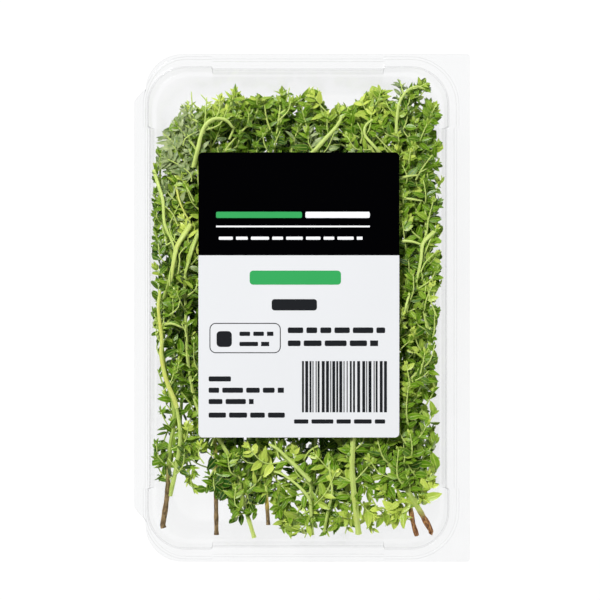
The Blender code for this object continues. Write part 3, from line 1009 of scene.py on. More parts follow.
# ============================================================ the thyme
@dataclass(frozen=True)
class HeapOutline:
    """Ragged outline of the leafy heap from above, in millimetres.

    Attributes:
        crest: (x, y) pairs along the tips' end.
        hem: (x, y) pairs along the feet's end.
        left: (y, x) pairs down the opening side.
        right: (y, x) pairs down the hinge side.
        hollow: centre and half sizes of the open place between the stems, leafless above hollow_z.
        top: height that the leaves keep under, in millimetres.
        haze_patches: centres and half sizes of the places with leaves painted grey as a painted haze of the lid's
            reflected light, and the share that are.
        painted_light_patches: (x, y, reach, change) of places whose green is painted lighter or darker: painted light
            and shade, partly the leaves' own tone.
    """

    crest: tuple[tuple[float, float], ...] = (
        (-54, 49), (-51, 62), (-46.5, 66.5), (-43.3, 72), (-40.5, 75), (-36.2, 72), (-31, 75), (-23.4, 79.5),
        (-20, 75), (-17, 77), (-12.8, 75), (-7.8, 79.2), (-1.8, 76), (4.3, 80), (7.8, 75), (10.3, 69),
        (13.1, 73.5),
        (17, 72), (21, 75.3), (25.6, 79.5), (30, 78), (34, 81.5), (38, 79), (43, 82), (48.3, 76.7), (49.5, 66),
    )
    hem: tuple[tuple[float, float], ...] = (
        (-54, -61), (-44.7, -62.5), (-43, -56), (-41, -64), (-37.4, -66.5), (-36.0, -50), (-35.4, -50),
        (-34.4, -66),
        (-27, -69), (-26, -77), (-17, -77), (-15.5, -69), (-11.5, -69), (-10, -76), (-5, -81.5), (12, -81.5),
        (14, -74), (16, -80), (24, -80.5), (38, -79), (42, -70), (49, -67),
    )
    left: tuple[tuple[float, float], ...] = (
        (-62, -54.2), (-44, -54.2), (-40, -50.6), (-15, -50.6), (-8, -54.4), (51, -54.6), (66, -53),
    )
    right: tuple[tuple[float, float], ...] = (
        (-70, 48), (-45, 48.8), (-20, 48.2), (-12, 47.4), (0, 49.5), (48, 50.6), (66, 50.6), (78, 49),
    )

    hollow: tuple[float, float, float, float] = (-29.1, 61.6, 5.0, 4.4)
    hollow_z: float = 16.0
    top: float = 26.8
    haze_patches: tuple[tuple[float, float, float, float, float], ...] = (
        (-45.0, 59.5, 8.5, 14.5, 0.72), (33.0, 77.5, 3.4, 5.5, 0.8), (5.0, 59.0, 9.0, 5.0, 0.35),
        (-42.0, 22.0, 9.0, 14.0, 0.20), (14.0, 56.0, 6.0, 4.0, 0.3), (38.0, 64.0, 5.0, 6.0, 0.25),
    )
    painted_light_patches: tuple[tuple[float, float, float, float], ...] = (
        (-12, 59, 9, -0.34), (3, 58, 9, -0.42), (18, 57, 8, -0.36), (-27, 60, 7, -0.32), (44, 62, 11, -0.22),
        (44, 36, 12, -0.16), (44, 5, 9, -0.10), (-43, 12, 10, -0.12), (-42, -8, 10, -0.16),
        (-40, -28, 9, -0.14),
        (-20, -50, 10, -0.12), (5, -50, 9, -0.14), (7, -61, 9, -0.16), (-34, 73, 6, 0.18), (-26, -58, 5, -0.12),
        (30, -55, 9, -0.16), (40, -52, 8, -0.10),
        (38, -73, 8, 0.12), (2, -76, 8, 0.10), (45, -62, 7, 0.04), (-47, -58, 7, 0.10), (24, 73, 6, 0.12),
    )

    def haze_share(self, point: np.ndarray) -> float:
        """Share of the leaves around a point that are painted grey as a painted haze of the lid's reflected light."""
        x, y = float(point[0]) / MM, float(point[1]) / MM
        shares = [
            share for at_x, at_y, half_x, half_y, share in self.haze_patches
            if math.hypot((x - at_x) / half_x, (y - at_y) / half_y) < 1.0
        ]
        return max(shares, default=0.0)

    def painted_light_shift(self, point: np.ndarray) -> float:
        """How much lighter, or darker if negative, the green is painted around a point: painted light and shade,
        partly the leaves' own tone.
        """
        x, y = float(point[0]) / MM, float(point[1]) / MM
        return sum(
            change * math.exp(-((x - at_x) ** 2 + (y - at_y) ** 2) / reach ** 2)
            for at_x, at_y, reach, change in self.painted_light_patches
        )

    @staticmethod
    def _read(profile: tuple[tuple[float, float], ...], place: float) -> float:
        """The profile's value at a place."""
        return float(np.interp(place, [row[0] for row in profile], [row[1] for row in profile]))

    def holds(self, point: np.ndarray) -> bool:
        """Whether a point lies over the heap."""
        x, y = float(point[0]) / MM, float(point[1]) / MM
        at_x, at_y, half_x, half_y = self.hollow
        if point[2] > self.hollow_z * MM and math.hypot((x - at_x) / half_x, (y - at_y) / half_y) < 1.0:
            return False
        within_x = self._read(self.left, y) < x < self._read(self.right, y)
        return within_x and self._read(self.hem, x) < y < self._read(self.crest, x)


HEAP = HeapOutline()


@dataclass(frozen=True)
class LeafForm:
    """How the blade is drawn: stations along it, and four places round each of them.

    Attributes:
        stations: places along the blade, from 0 to 1.
        thickness: half the blade's thickness.
    """

    stations: tuple[float, ...] = (0.07, 0.24, 0.44, 0.64, 0.84)
    thickness: float = 0.13 * MM

    def half_width(self, t: np.ndarray) -> np.ndarray:
        """Share of the blade's full half width at a place along it."""
        stalk = np.clip((t - 0.02) / 0.25, 0.12, 1.0)
        return np.minimum(stalk, np.sin(math.pi * np.clip(t, 0.0, 1.0) ** 0.82) ** 0.85 + 0.02)

    def template(self) -> tuple[np.ndarray, np.ndarray, np.ndarray, list[tuple[int, ...]]]:
        """Vertex places on a unit blade, and its faces.

        Returns:
            Place along, place across and place through for each vertex, and the faces.
        """
        along, across, through = [0.0], [0.0], [0.0]
        for t in self.stations:
            along += [t] * 4
            across += [-1.0, 0.0, 1.0, 0.0]
            through += [0.0, 1.0, 0.0, -1.0]
        along.append(1.0)
        across.append(0.0)
        through.append(0.0)
        faces: list[tuple[int, ...]] = []
        tip = len(along) - 1
        for j in range(4):
            k = (j + 1) % 4
            faces.append((0, 1 + j, 1 + k))
            for ring in range(len(self.stations) - 1):
                a, b = 1 + 4 * ring, 5 + 4 * ring
                faces.append((a + j, b + j, b + k, a + k))
            last = 1 + 4 * (len(self.stations) - 1)
            faces.append((last + j, tip, last + k))
        return np.array(along), np.array(across), np.array(through), faces


LEAF = LeafForm()
LEAF_T, LEAF_U, LEAF_K, LEAF_FACES = LEAF.template()
LEAF_HALF = LEAF.half_width(LEAF_T)
UP = np.array((0.0, 0.0, 1.0))


@dataclass
class SprigPlan:
    """What one sprig is like.

    Attributes:
        node: the frame's node that it stands for.
        line: its main stem's points in millimetres, from the cut foot to the tip.
        radius: the stem's radius at the foot, in millimetres.
        woody: share of the stem that is brown bark, from the foot.
        bare: length without leaves at the foot, in millimetres.
        tone: how fresh its green is, from 0 to 1.
        vigour: how many side shoots it carries.
        leaf: length of its largest leaves, in millimetres.
        skin: how yellow its green stem is, from 0 to 1.
        side: side that carries extra shoots, 1 for +X, -1 for -X, 0 for neither.
        straws: number of thin pale shoots that lie loose on top.
        breadth: half width of its leaves as a share of their length.
        twigs: extra bare stems as (radius, skin, points), in millimetres.
        tufts: extra leafy shoots as (start, end, leaf length, tone and, if its own, breadth), in millimetres.
        rust: how red and knotty its bark is, from 0 to 1.
    """

    node: str
    line: list[tuple[float, float, float]]
    radius: float = 0.6
    woody: float = 0.12
    bare: float = 14.0
    tone: float = 0.5
    vigour: float = 0.6
    leaf: float = 6.5
    skin: float = 0.5
    side: int = 0
    straws: int = 0
    breadth: float = 0.17
    twigs: list[tuple] = field(default_factory=list)
    tufts: list[tuple] = field(default_factory=list)
    rust: float = 0.0


class Sprig:
    """Grows one sprig: a main stem with pairs of leaves and leafy side shoots."""

    def __init__(self, plan: SprigPlan, tub: TubShape, seed: int) -> None:
        """Keep the plan and start the two sheaves.

        Args:
            plan: what the sprig is like.
            tub: the space it is packed in.
            seed: for its own random draws.
        """
        self.plan = plan
        self.tub = tub
        self.draw = random.Random(seed)
        self.breadth = plan.breadth
        self.leaves = Sheaf()
        self.stems = Sheaf()

    def jitter(self, size: float) -> np.ndarray:
        """Random vector with each part up to size."""
        return np.array([self.draw.uniform(-size, size) for _ in range(3)])

    def leaf(self, base: np.ndarray, aim: np.ndarray, face: np.ndarray, length: float, tone: float) -> None:
        """Add one leaf blade.

        Args:
            base: where its stalk joins the stem.
            aim: direction it points.
            face: rough direction of its upper side.
            length: its length in metres.
            tone: how fresh its green is.
        """
        draw = self.draw
        aim = unit(aim)
        if not HEAP.holds(base + aim * length * 0.8):
            return
        # Painted haze: some leaves here are painted grey for the lid's reflected light.
        if draw.random() < HEAP.haze_share(base):
            tone = -1.0
        # Painted light and shade: patches of lighter or darker green, partly the leaves' own tone.
        tone += HEAP.painted_light_shift(base) if tone > -0.2 else 0.0
        normal = unit(face - aim * float(face @ aim))
        side = np.cross(normal, aim)
        half = length * self.breadth * draw.uniform(0.78, 1.22)
        fold = draw.uniform(0.22, 0.60)
        curl = draw.uniform(-0.10, 0.30) * length
        sweep = draw.uniform(-0.12, 0.12) * length
        across = LEAF_U * LEAF_HALF * half
        lift = fold * np.abs(across) - curl * LEAF_T ** 2 + LEAF_K * LEAF.thickness * (0.25 + 0.75 * LEAF_HALF)
        points = (
            base + np.outer(LEAF_T * length, aim) + np.outer(across + sweep * LEAF_T ** 2, side)
            + np.outer(lift, normal)
        )
        points[:, 2] -= max(0.0, float(points[:, 2].max()) - HEAP.top * MM)
        values = np.column_stack([1.0 - np.abs(LEAF_U), LEAF_T, np.full(len(LEAF_T), tone)])
        self.leaves.add(self.tub.confine(points, 0.35 * MM), LEAF_FACES, values)

    def tube(self, line: np.ndarray, radii: np.ndarray, wood: np.ndarray, sides: int, tone: float) -> None:
        """Add one closed stem along a line.

        Args:
            line: centre points.
            radii: radius at each of them.
            wood: how woody the skin is at each of them.
            sides: vertices round it.
            tone: how yellow its green is.
        """
        ahead = np.gradient(line, axis=0)
        angles = np.arange(sides) * math.tau / sides
        square = 1.0 + 0.13 * np.cos(4 * angles)
        points, values = [], []
        for centre, direction, radius, woody in zip(line, ahead, radii, wood):
            direction = unit(direction)
            side = unit(np.cross(direction, UP + 0.01 * direction[::-1]))
            top = np.cross(side, direction)
            ring = np.outer(np.cos(angles) * square, side) + np.outer(np.sin(angles) * square, top)
            points.append(centre + ring * radius)
            values.append(np.tile((-self.plan.rust, woody, tone), (sides, 1)))
        core = [line[0] - unit(ahead[0]) * radii[0] * 0.1, line[-1] + unit(ahead[-1]) * radii[-1]]
        points.append(np.array(core))
        values.append(np.array([(1.0, wood[0], tone), (0.0, wood[-1], tone)]))
        faces: list[tuple[int, ...]] = []
        count = len(line)
        for j in range(sides):
            k = (j + 1) % sides
            for ring in range(count - 1):
                a, b = ring * sides, (ring + 1) * sides
                faces.append((a + j, a + k, b + k, b + j))
            faces.append((count * sides, k, j))
            faces.append((count * sides + 1, (count - 1) * sides + j, (count - 1) * sides + k))
        self.stems.add(np.vstack(points), faces, np.vstack(values))

    def pair(
        self, spot: np.ndarray, ahead: np.ndarray, turn: float, length: float, lean: float, tone: float
    ) -> None:
        """Add two leaves on opposite sides of a stem.

        Args:
            spot: where on the stem.
            ahead: the stem's direction.
            turn: angle of the pair round the stem.
            length: leaf length in metres.
            lean: how far the leaves point along the stem.
            tone: how fresh their green is.
        """
        side = unit(np.cross(ahead, UP))
        top = np.cross(side, ahead)
        for way in (1.0, -1.0):
            out = way * (math.cos(turn) * side + 0.55 * math.sin(turn) * top)
            aim = unit(out) + ahead * (lean + self.draw.uniform(-0.15, 0.2)) + self.jitter(0.16)
            face = UP * self.draw.uniform(0.5, 1.1) + ahead * self.draw.uniform(0.0, 0.7) + self.jitter(0.45)
            size = length * self.draw.uniform(0.8, 1.12)
            self.leaf(spot, aim, face, size, tone + self.draw.uniform(-0.2, 0.2))

    def rosette(self, tip: np.ndarray, ahead: np.ndarray, length: float, tone: float) -> None:
        """Add the close pairs that end a shoot."""
        turn = self.draw.uniform(0, math.pi)
        for step in range(4):
            spot = tip - ahead * (3 - step) * 0.8 * MM
            size = length * (1.0 - 0.13 * step)
            self.pair(spot, ahead, turn + step * math.pi / 2, size, 0.45 + 0.55 * step, tone + 0.03 * step)

    def shoot(self, base: np.ndarray, aim: np.ndarray, length: float, tone: float) -> None:
        """Add one leafy side shoot.

        Args:
            base: where it leaves the main stem.
            aim: direction it starts in.
            length: its length in metres.
            tone: how fresh its green is.
        """
        draw = self.draw
        aim = unit(aim)
        bend = self.jitter(0.35)
        bend[2] *= 0.4
        end_aim = unit(aim * 0.6 + np.array((0.0, 0.55, 0.0)) + bend)
        tone += draw.uniform(-0.26, 0.26)
        while length > 5.0 * MM and not HEAP.holds(base + (aim + end_aim) * 0.5 * length):
            length *= 0.8
        if not all(HEAP.holds(base + (aim + end_aim * bit) * 0.5 * length) for bit in (0.2, 1.0)):
            return
        middle = base + aim * 0.5 * length
        corners = np.array([base, middle, middle + end_aim * 0.5 * length])
        path = smooth_line(self.tub.confine(corners, draw.uniform(1.0, 3.0) * MM), 2.0 * MM)
        radii = np.linspace(0.34, 0.16, len(path)) * MM
        self.tube(path, radii, np.zeros(len(path)), 5, min(1.0, self.plan.skin + 0.25))
        ahead = np.gradient(path, axis=0)
        travelled = 2.2 * MM
        turn = draw.uniform(0, math.pi)
        leaf_length = draw.uniform(3.8, 5.6) * MM * self.plan.leaf / 6.5
        while travelled < length - 2.0 * MM:
            share = travelled / length
            spot = min(len(path) - 1, int(round(share * (len(path) - 1))))
            size = leaf_length * (0.8 + 0.4 * math.sin(math.pi * min(1.0, share + 0.15)))
            self.pair(path[spot], unit(ahead[spot]), turn, size, 0.45 + 0.3 * share, tone + 0.18 * share)
            turn += math.pi / 2
            travelled += draw.uniform(2.0, 3.0) * MM
        self.rosette(path[-1], unit(ahead[-1]), leaf_length * 0.8, tone + 0.22)

    def straw(self, near: np.ndarray) -> None:
        """Add one thin pale shoot on top of the heap, close to a place."""
        draw = self.draw
        middle = near + np.array((draw.uniform(-5, 5), draw.uniform(-4, 4), 0.0)) * MM
        middle[2] = draw.uniform(25.0, 26.8) * MM
        aim = unit(np.array((draw.uniform(-1.0, 1.0), 1.0, draw.uniform(-0.15, 0.1))))
        bend = np.array((draw.uniform(-1.5, 1.5), 0.0, 0.6)) * MM
        half = draw.uniform(2.5, 6.0) * MM
        ends = [middle - aim * half, middle + bend, middle + aim * half]
        if not all(HEAP.holds(end) for end in ends):
            return
        path = self.tub.confine(smooth_line(np.array(ends), 1.2 * MM), 0.5 * MM)
        self.tube(path, np.linspace(0.30, 0.18, len(path)) * MM, np.zeros(len(path)), 5, 1.0)
        if draw.random() < 0.6:
            self.rosette(path[-1], aim, draw.uniform(3.2, 4.6) * MM, self.plan.tone + draw.uniform(-0.1, 0.35))

    def tuft(self, start: np.ndarray, end: np.ndarray, leaf: float, tone: float, breadth: float) -> None:
        """Add a dense leafy shoot from start to end.

        Args:
            start: where it begins.
            end: where its tip is.
            leaf: length of its leaves.
            tone: how fresh its green is.
            breadth: half width of its leaves as a share of their length.
        """
        self.breadth = breadth
        aim = unit(end - start)
        middle = (start + end) / 2 + self.jitter(1.0 * MM)
        path = self.tub.confine(smooth_line(np.array([start, middle, end]), 1.6 * MM), 1.0 * MM)
        self.tube(path, np.linspace(0.42, 0.2, len(path)) * MM, np.zeros(len(path)), 5, self.plan.skin)
        turn = self.draw.uniform(0, math.pi)
        for i in range(1, len(path), 2):
            share = i / len(path)
            self.pair(path[i], aim, turn, leaf * self.draw.uniform(0.85, 1.15), 0.35 + 0.4 * share, tone)
            turn += math.pi / 2
        self.rosette(path[-1], aim, leaf * 0.85, tone + 0.1)

    def grow(self) -> None:
        """Grow the whole sprig."""
        plan, draw = self.plan, self.draw
        line = self.tub.confine(smooth_line(np.array(plan.line) * MM, 1.6 * MM), (plan.radius + 0.3) * MM)
        count = len(line)
        share = np.linspace(0.0, 1.0, count)
        length = 1.6 * MM * (count - 1)
        ahead = np.gradient(line, axis=0)
        knots = 0.5 + 0.5 * np.cos(share * length / (7.0 * MM) * math.tau)
        taper = 1.0 - 0.62 * share
        radii = plan.radius * MM * taper * (0.92 + 0.16 * knots ** 6)
        wood = np.clip(1.0 - share / max(plan.woody, 1e-3) * 0.55, 0.0, 1.0) if plan.woody > 0 else share * 0.0
        lumps = np.array([draw.uniform(-0.24, 0.30) for _ in range(count)])
        radii = radii * (1.0 + lumps * wood * (0.25 + 0.75 * plan.rust))
        self.tube(line, radii, wood, 8, plan.skin)
        travelled = plan.bare * MM
        turn = draw.uniform(0, math.pi)
        while travelled < length - 3.0 * MM:
            at = min(count - 1, int(round(travelled / length * (count - 1))))
            along = travelled / length
            direction = unit(ahead[at])
            tone = plan.tone + 0.10 * (along - 0.5) + draw.uniform(-0.12, 0.12)
            size = plan.leaf * MM * (1.08 - 0.42 * along) * draw.uniform(0.85, 1.1)
            self.pair(line[at], direction, turn, size, 0.35, tone)
            side = unit(np.cross(direction, UP))
            for way in (1.0, -1.0):
                chance = plan.vigour + (0.5 if way * side[0] * plan.side > 0 else 0.0)
                if draw.random() < chance:
                    out = way * math.cos(turn) * side + UP * way * math.sin(turn) * 0.5
                    aim = unit(out) + direction * draw.uniform(0.5, 1.2)
                    reach = draw.uniform(8.0, 21.0) * MM * (1.05 - 0.4 * along)
                    self.shoot(line[at], aim, reach, tone + draw.uniform(-0.05, 0.12))
                elif draw.random() < 0.6:
                    aim = way * side + direction * 0.8
                    self.rosette(line[at] + unit(aim) * 1.6 * MM, unit(aim), size * 0.55, tone + 0.12)
            turn += math.pi / 2
            travelled += draw.uniform(5.2, 7.6) * MM * (1.0 - 0.45 * along)
        self.rosette(line[-1], unit(ahead[-1]), plan.leaf * 0.75 * MM, plan.tone + 0.2)
        self.rosette(line[-3], unit(ahead[-3]), plan.leaf * 0.85 * MM, plan.tone + 0.15)
        for radius, skin, points in plan.twigs:
            path = self.tub.confine(smooth_line(np.array(points) * MM, 1.2 * MM), 0.6 * MM)
            self.tube(path, np.linspace(radius, 0.6 * radius, len(path)) * MM, np.zeros(len(path)), 7, skin)
        for _ in range(plan.straws):
            self.straw(line[draw.randrange(count // 6, count - 2)])
        for start, end, leaf, tone, *breadth in plan.tufts:
            width = breadth[0] if breadth else plan.breadth
            self.tuft(np.array(start) * MM, np.array(end) * MM, leaf * MM, tone, width)

    def build(self, leaf_finish: bpy.types.Material, stem_finish: bpy.types.Material) -> list[bpy.types.Object]:
        """Grow the sprig and make its two pieces.

        Args:
            leaf_finish: material of the leaves.
            stem_finish: material of the stems.

        Returns:
            The stems and the leaves.
        """
        self.grow()
        name = self.plan.node.replace("thyme_", "")
        made = [
            self.stems.build(f"{name}_stems", stem_finish, 70.0),
            self.leaves.build(f"{name}_leaves", leaf_finish, 32.0),
        ]
        for piece in made:
            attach(piece, "base")
            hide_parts(self.plan.node)
        return made


@dataclass
class ThymePacking:
    """All the sprigs, the top ones listed one by one and the rest along their frame nodes.

    Attributes:
        tub: the space they are packed in.
        seed: for the random draws.
        hidden_shaded_tone, hidden_vigour, hidden_breadth: what the hidden sprigs' plans are built on; their deeper
        green is painted shade for their place low in the heap.
    """

    tub: TubShape = field(default_factory=TubShape)
    seed: int = 41
    # Deeper green for the sprigs low in the heap: painted shade.
    hidden_shaded_tone: float = 0.26
    hidden_vigour: float = 0.82
    hidden_breadth: float = 0.21

    def top_plans(self) -> list[SprigPlan]:
        """The sprigs that show: lines in millimetres from the cut foot to the tip."""
        return [
            SprigPlan(
                "thyme_sprig_17",
                [(-49.9, -79.0, 19.5), (-48.0, -66, 20), (-47.2, -52, 22), (-45.4, -38, 23), (-48, -25, 23.5),
                 (-50, -12, 23), (-50, 0, 23), (-47.5, 9, 23), (-46, 17, 23), (-49.5, 30, 22), (-50.5, 42, 21),
                 (-50.5, 55, 19)],
                0.88, 0.17, 17, 0.30, 0.55, 6.2, 0.45, -1, 14, 0.17,
                twigs=[
                    (0.86, 0.60, [(-47.2, -67, 19.5), (-44.9, -57, 22), (-43.3, -46, 26.4), (-44.2, -37, 26.9),
                                  (-45.6, -31.6, 26.9)]),
                    (0.82, 1.28, [(-44.4, -35.5, 26.8), (-45.4, -32.4, 27), (-48.4, -24.9, 27), (-50.0, -16.7, 27),
                                  (-49.8, -11, 27), (-51.0, 0, 26.8), (-50.4, 6, 25)]),
                    (0.44, 1.30, [(-44.6, 43, 25), (-43.4, 38, 26.8), (-41.4, 33.4, 27), (-39.4, 30, 26)]),
                    (0.50, 0.85, [(-49.3, -6, 25), (-46, -5.5, 27), (-42.2, -7.1, 25.5)]),
                    (0.66, 0.75, [(-52.6, 49, 24), (-51, 44, 26.2), (-49.2, 38, 27), (-48.6, 29.8, 27),
                                  (-45.4, 21.7, 26), (-44.6, 14, 24)]),
                ],
                tufts=[
                    ((-43.5, -46, 22), (-38.5, -59, 22), 4.4, 0.55),
                    ((-41, -55, 22), (-38.2, -66, 21.5), 4.0, 0.75),
                    ((-44, -44, 21), (-38, -51, 21), 4.2, 0.55), ((-46, -40, 20), (-50, -50, 20), 4.6, 0.35),
                    ((-43, -30, 22), (-38, -38, 21), 5.0, 0.30), ((-44, -20, 20), (-39, -30, 20), 5.0, 0.25),
                    ((-46, -50, 21), (-40.5, -62.5, 21), 4.2, 0.75),
                    ((-48, -52, 20), (-51, -62, 18), 4.6, 0.35),
                    ((-49, -10, 22), (-53.5, -2, 21), 5.2, 0.25), ((-49, 12, 22), (-53.6, 22, 20), 5.0, 0.25),
                    ((-49, 30, 22), (-53.4, 41, 20), 5.0, 0.35), ((-50, 20, 24), (-52.6, 33, 22), 5.0, 0.45),
                    ((-48, -32, 21), (-51.5, -22, 20), 4.8, 0.35), ((-49, -20, 20), (-53, -13, 18), 5.0, 0.25),
                ]),
            SprigPlan(
                "thyme_sprig_18",
                [(-30.5, -81, 19.5), (-30.7, -64.6, 20), (-31, -48, 21), (-33, -20, 20), (-31, 10, 20), (-35, 32, 21),
                 (-37.3, 52.5, 24.6), (-36.2, 60, 25.8), (-33, 65.4, 26), (-28.5, 67, 25), (-25.5, 72, 23),
                 (-23.4, 78, 21)],
                0.74, 0.15, 17, 0.38, 0.45, 6.2, 0.80, 0, 12, 0.15,
                twigs=[
                    (0.80, 0.95, [(-38.6, 50, 25.6), (-37.2, 55.5, 27), (-35.6, 62, 27.3), (-33.6, 65.6, 27.3),
                                  (-30.5, 67.2, 27.2), (-26.8, 66.6, 26.8), (-24.4, 64.0, 25)]),
                    (0.98, 1.15, [(-39.4, 29.5, 25), (-42.0, 25.5, 26.8), (-44.2, 21.7, 27), (-45.4, 16.3, 27),
                                  (-46.5, 9.6, 25.5)]),
                    (0.78, 0.6, [(-36.6, 27, 25), (-39.2, 19.5, 27), (-41.4, 12.1, 25.5)]),
                ],
                # Tufts with a tone below zero are painted grey, a painted haze for the lid's reflected light.
                tufts=[
                    ((-31, -57, 20), (-34.0, -64, 21.5), 5.2, 0.05, 0.30),
                    ((-30, -58, 21), (-26, -66, 22), 5.2, 0.08, 0.30),
                    ((-31, -52, 21), (-27, -60.5, 23), 5.0, 0.10, 0.28),
                    ((-38, 48, 23), (-46, 58, 24), 5.4, -1.1),
                    ((-30.6, -58, 22), (-30.4, -66, 23), 4.8, 0.06, 0.30),
                    ((-39, 55, 23), (-49.5, 62, 22), 5.4, -1.2), ((-36, 62, 22), (-41, 74, 19), 4.2, 0.70),
                    ((-38, 46, 24), (-48, 53, 24), 5.6, -1.2), ((-36, 54, 24), (-41, 62, 24), 5.2, -1.0),
                    ((-40, 62, 21), (-39.5, 77, 20), 4.2, 0.65), ((-35, 62, 20), (-34, 75, 20), 4.2, 0.55),
                    ((-40, 40, 24), (-43, 49, 25), 5.4, -1.1), ((-37, 60, 24), (-44, 66, 23), 5.0, -1.0),
                    ((-42, 36, 24), (-49, 43, 24), 5.4, -1.1), ((-37, 66, 24), (-42, 71, 22), 4.6, -0.8),
                    ((-30, 66, 22), (-36, 76, 20), 4.0, 0.75), ((-27, 66, 21), (-30.5, 76, 19), 4.2, 0.60),
                ]),
            SprigPlan(
                "thyme_sprig_19",
                [(-17, -82, 20), (-21.3, -67.5, 21), (-23.4, -57.5, 22), (-29.1, -47.6, 23), (-37, -36, 23),
                 (-40.5, -20, 21), (-41.5, 0, 21), (-41.5, 12, 23), (-38, 25, 23.5), (-33, 38, 21),
                 (-28, 55, 20),
                 (-17, 68, 20), (-15, 76, 20)],
                0.70, 0.0, 9, 0.42, 0.6, 6.2, 1.08, 0, 8, 0.17,
                tufts=[
                    ((-19, -69.5, 20.5), (-24.5, -71, 21), 4.6, 0.16, 0.28),
                    ((-19, -69, 21), (-15.5, -70, 22), 4.8, 0.12, 0.28),
                    ((-19.6, -73, 20), (-24, -75.5, 20), 4.4, 0.12, 0.28),
                    ((-20, -66, 22), (-16, -73.5, 22), 4.6, 0.2, 0.26),
                    ((-23, -58, 21), (-29, -62, 21), 5.0, 0.6), ((-26, 60, 21), (-20.5, 75, 19), 4.2, 0.55),
                ]),
            SprigPlan(
                "thyme_sprig_20",
                [(-12, -77.4, 20), (-12.8, -64.6, 21), (-13.1, -57.5, 21.5), (-15.6, -50, 21), (-16, -30, 19),
                 (-12, 0, 19), (-14, 30, 19), (-10, 55, 21), (-8, 70, 21), (-7.5, 77, 20)],
                0.66, 0.045, 12, 0.44, 0.65, 6.0, 1.10, 0, 5, 0.17,
                twigs=[
                    (0.86, 0.9, [(1.5, 53, 25), (4.6, 56, 26.8), (8.4, 60.2, 27), (12.2, 64.4, 26.4),
                                 (14, 67.5, 25)]),
                ],
                tufts=[
                    ((-13, -60, 21), (-19, -64, 20), 5.2, 0.55), ((-12, -58, 22), (-6.5, -64, 21), 5.4, 0.5),
                    ((-9, 62, 21), (-4.5, 78.5, 19), 4.6, 0.5), ((-10, 60, 21), (-13.5, 75.5, 20), 4.4, 0.45),
                    ((-4, 55, 22), (1.5, 69, 21), 4.8, 0.35),
                ]),
            SprigPlan(
                "thyme_sprig_21",
                [(3.6, -81, 20), (3.2, -72, 21), (2.8, -61, 22), (-1, -57, 23), (-6, -53.5, 23.5), (-10, -47, 22),
                 (-8, -25, 19), (0, 0, 19), (2, 30, 20), (4.3, 55.4, 23), (8.5, 60.5, 22.5), (12, 64.3, 22),
                 (12.8, 71, 21)],
                0.66, 0.0, 5, 0.52, 0.6, 6.8, 0.65, 0, 5, 0.20,
                twigs=[
                    (0.80, 0.70, [(2.8, -61.5, 24.5), (-2.5, -56, 26.8), (-8, -50.6, 27.2), (-11.6, -48.4, 26.4)]),
                    (0.42, 0.55, [(5.7, -49, 25), (2.5, -51, 25.4), (0.7, -54, 25)]),
                    (0.55, 0.60, [(7.8, -80, 20), (9.2, -72, 23), (10.6, -64.6, 26), (9.2, -54, 26)]),
                    (0.60, 0.80, [(3.2, -74, 22), (2.5, -68, 25), (-1.5, -63, 26.6), (-7, -59, 26.6),
                                  (-10.6, -58, 25)]),
                ],
                tufts=[
                    ((-5, -60, 21), (-8.5, -73, 21), 5.0, 0.45, 0.24),
                    ((-3, -66, 20), (-7.5, -78.5, 20), 5.0, 0.60, 0.24),
                    ((5, -71, 20), (1, -82, 19), 4.4, 0.45, 0.24),
                    ((11, -68, 20), (8.5, -81, 19), 4.4, 0.50, 0.22),
                    ((-9, -57, 20), (-10, -67, 20), 5.0, 0.35, 0.26),
                    ((-16, -58, 20), (-14, -67, 20), 5.0, 0.25, 0.26),
                    ((3.2, -72, 21), (-5, -76, 21), 5.8, 0.65), ((3.3, -73, 22), (-1.5, -80, 22), 5.6, 0.65),
                    ((3, -72, 20), (9, -74.5, 20), 5.2, 0.45), ((3, -66, 22), (-6.5, -68, 22), 5.4, 0.5),
                    ((-2.5, -62, 21), (-8, -72, 21), 4.8, 0.55, 0.24),
                    ((1, -68, 21), (-6.5, -79, 20), 4.6, 0.4, 0.24),
                    ((6, -60, 20), (4, -70, 20), 4.8, 0.3, 0.24),
                    ((9, -66, 20), (13, -76, 20), 4.6, 0.35, 0.24),
                    ((8, -73, 21), (12, -79.5, 20), 4.2, 0.3), ((9, -64, 22), (14, -70, 21), 5.0, 0.55),
                    ((3, 58, 22), (-1, 74, 20), 4.8, 0.45), ((10, 62, 21), (5.5, 78.5, 19), 4.8, 0.45),
                ]),
            SprigPlan(
                "thyme_sprig_22",
                [(20.2, -80.6, 21), (18.8, -68.9, 24), (17.8, -57.5, 25.6), (18.1, -46.2, 26), (19, -25, 22),
                 (22, 0, 20), (26, 30, 21), (26.5, 52, 24), (22.6, 58.5, 25), (21.6, 63.5, 25), (25, 67.5, 24),
                 (24.3, 77, 21)],
                1.0, 0.0, 13, 0.44, 0.5, 6.6, 1.12, 0, 5, 0.20,
                twigs=[(0.62, 0.95, [(28, 54.5, 25), (25.2, 57.6, 26.8), (22.2, 61.3, 27), (22.6, 64.8, 26.8),
                                     (25.6, 67.2, 25.5)])],
                tufts=[
                    ((22, -69, 21), (25.5, -80, 20), 5.2, 0.75, 0.18),
                    ((18, -72, 20), (15.5, -80.5, 19), 4.4, 0.6, 0.2),
                    ((18.8, -68, 22), (12, -76, 21), 5.6, 0.5), ((19, -66, 22), (25.5, -74, 21), 5.8, 0.8),
                    ((24, -66, 21), (31.5, -75, 20), 5.8, 0.75), ((23, -60, 21), (32, -67, 22), 5.6, 0.5),
                    ((18, -60, 22), (24, -64, 22), 6.0, 0.5), ((24, 56, 22), (28.5, 77.5, 19), 4.6, 0.6),
                    ((20, 58, 22), (17.5, 70, 21), 4.8, 0.45), ((18, 56, 21), (10.5, 58, 22), 4.8, 0.4),
                ]),
            SprigPlan(
                "thyme_sprig_23",
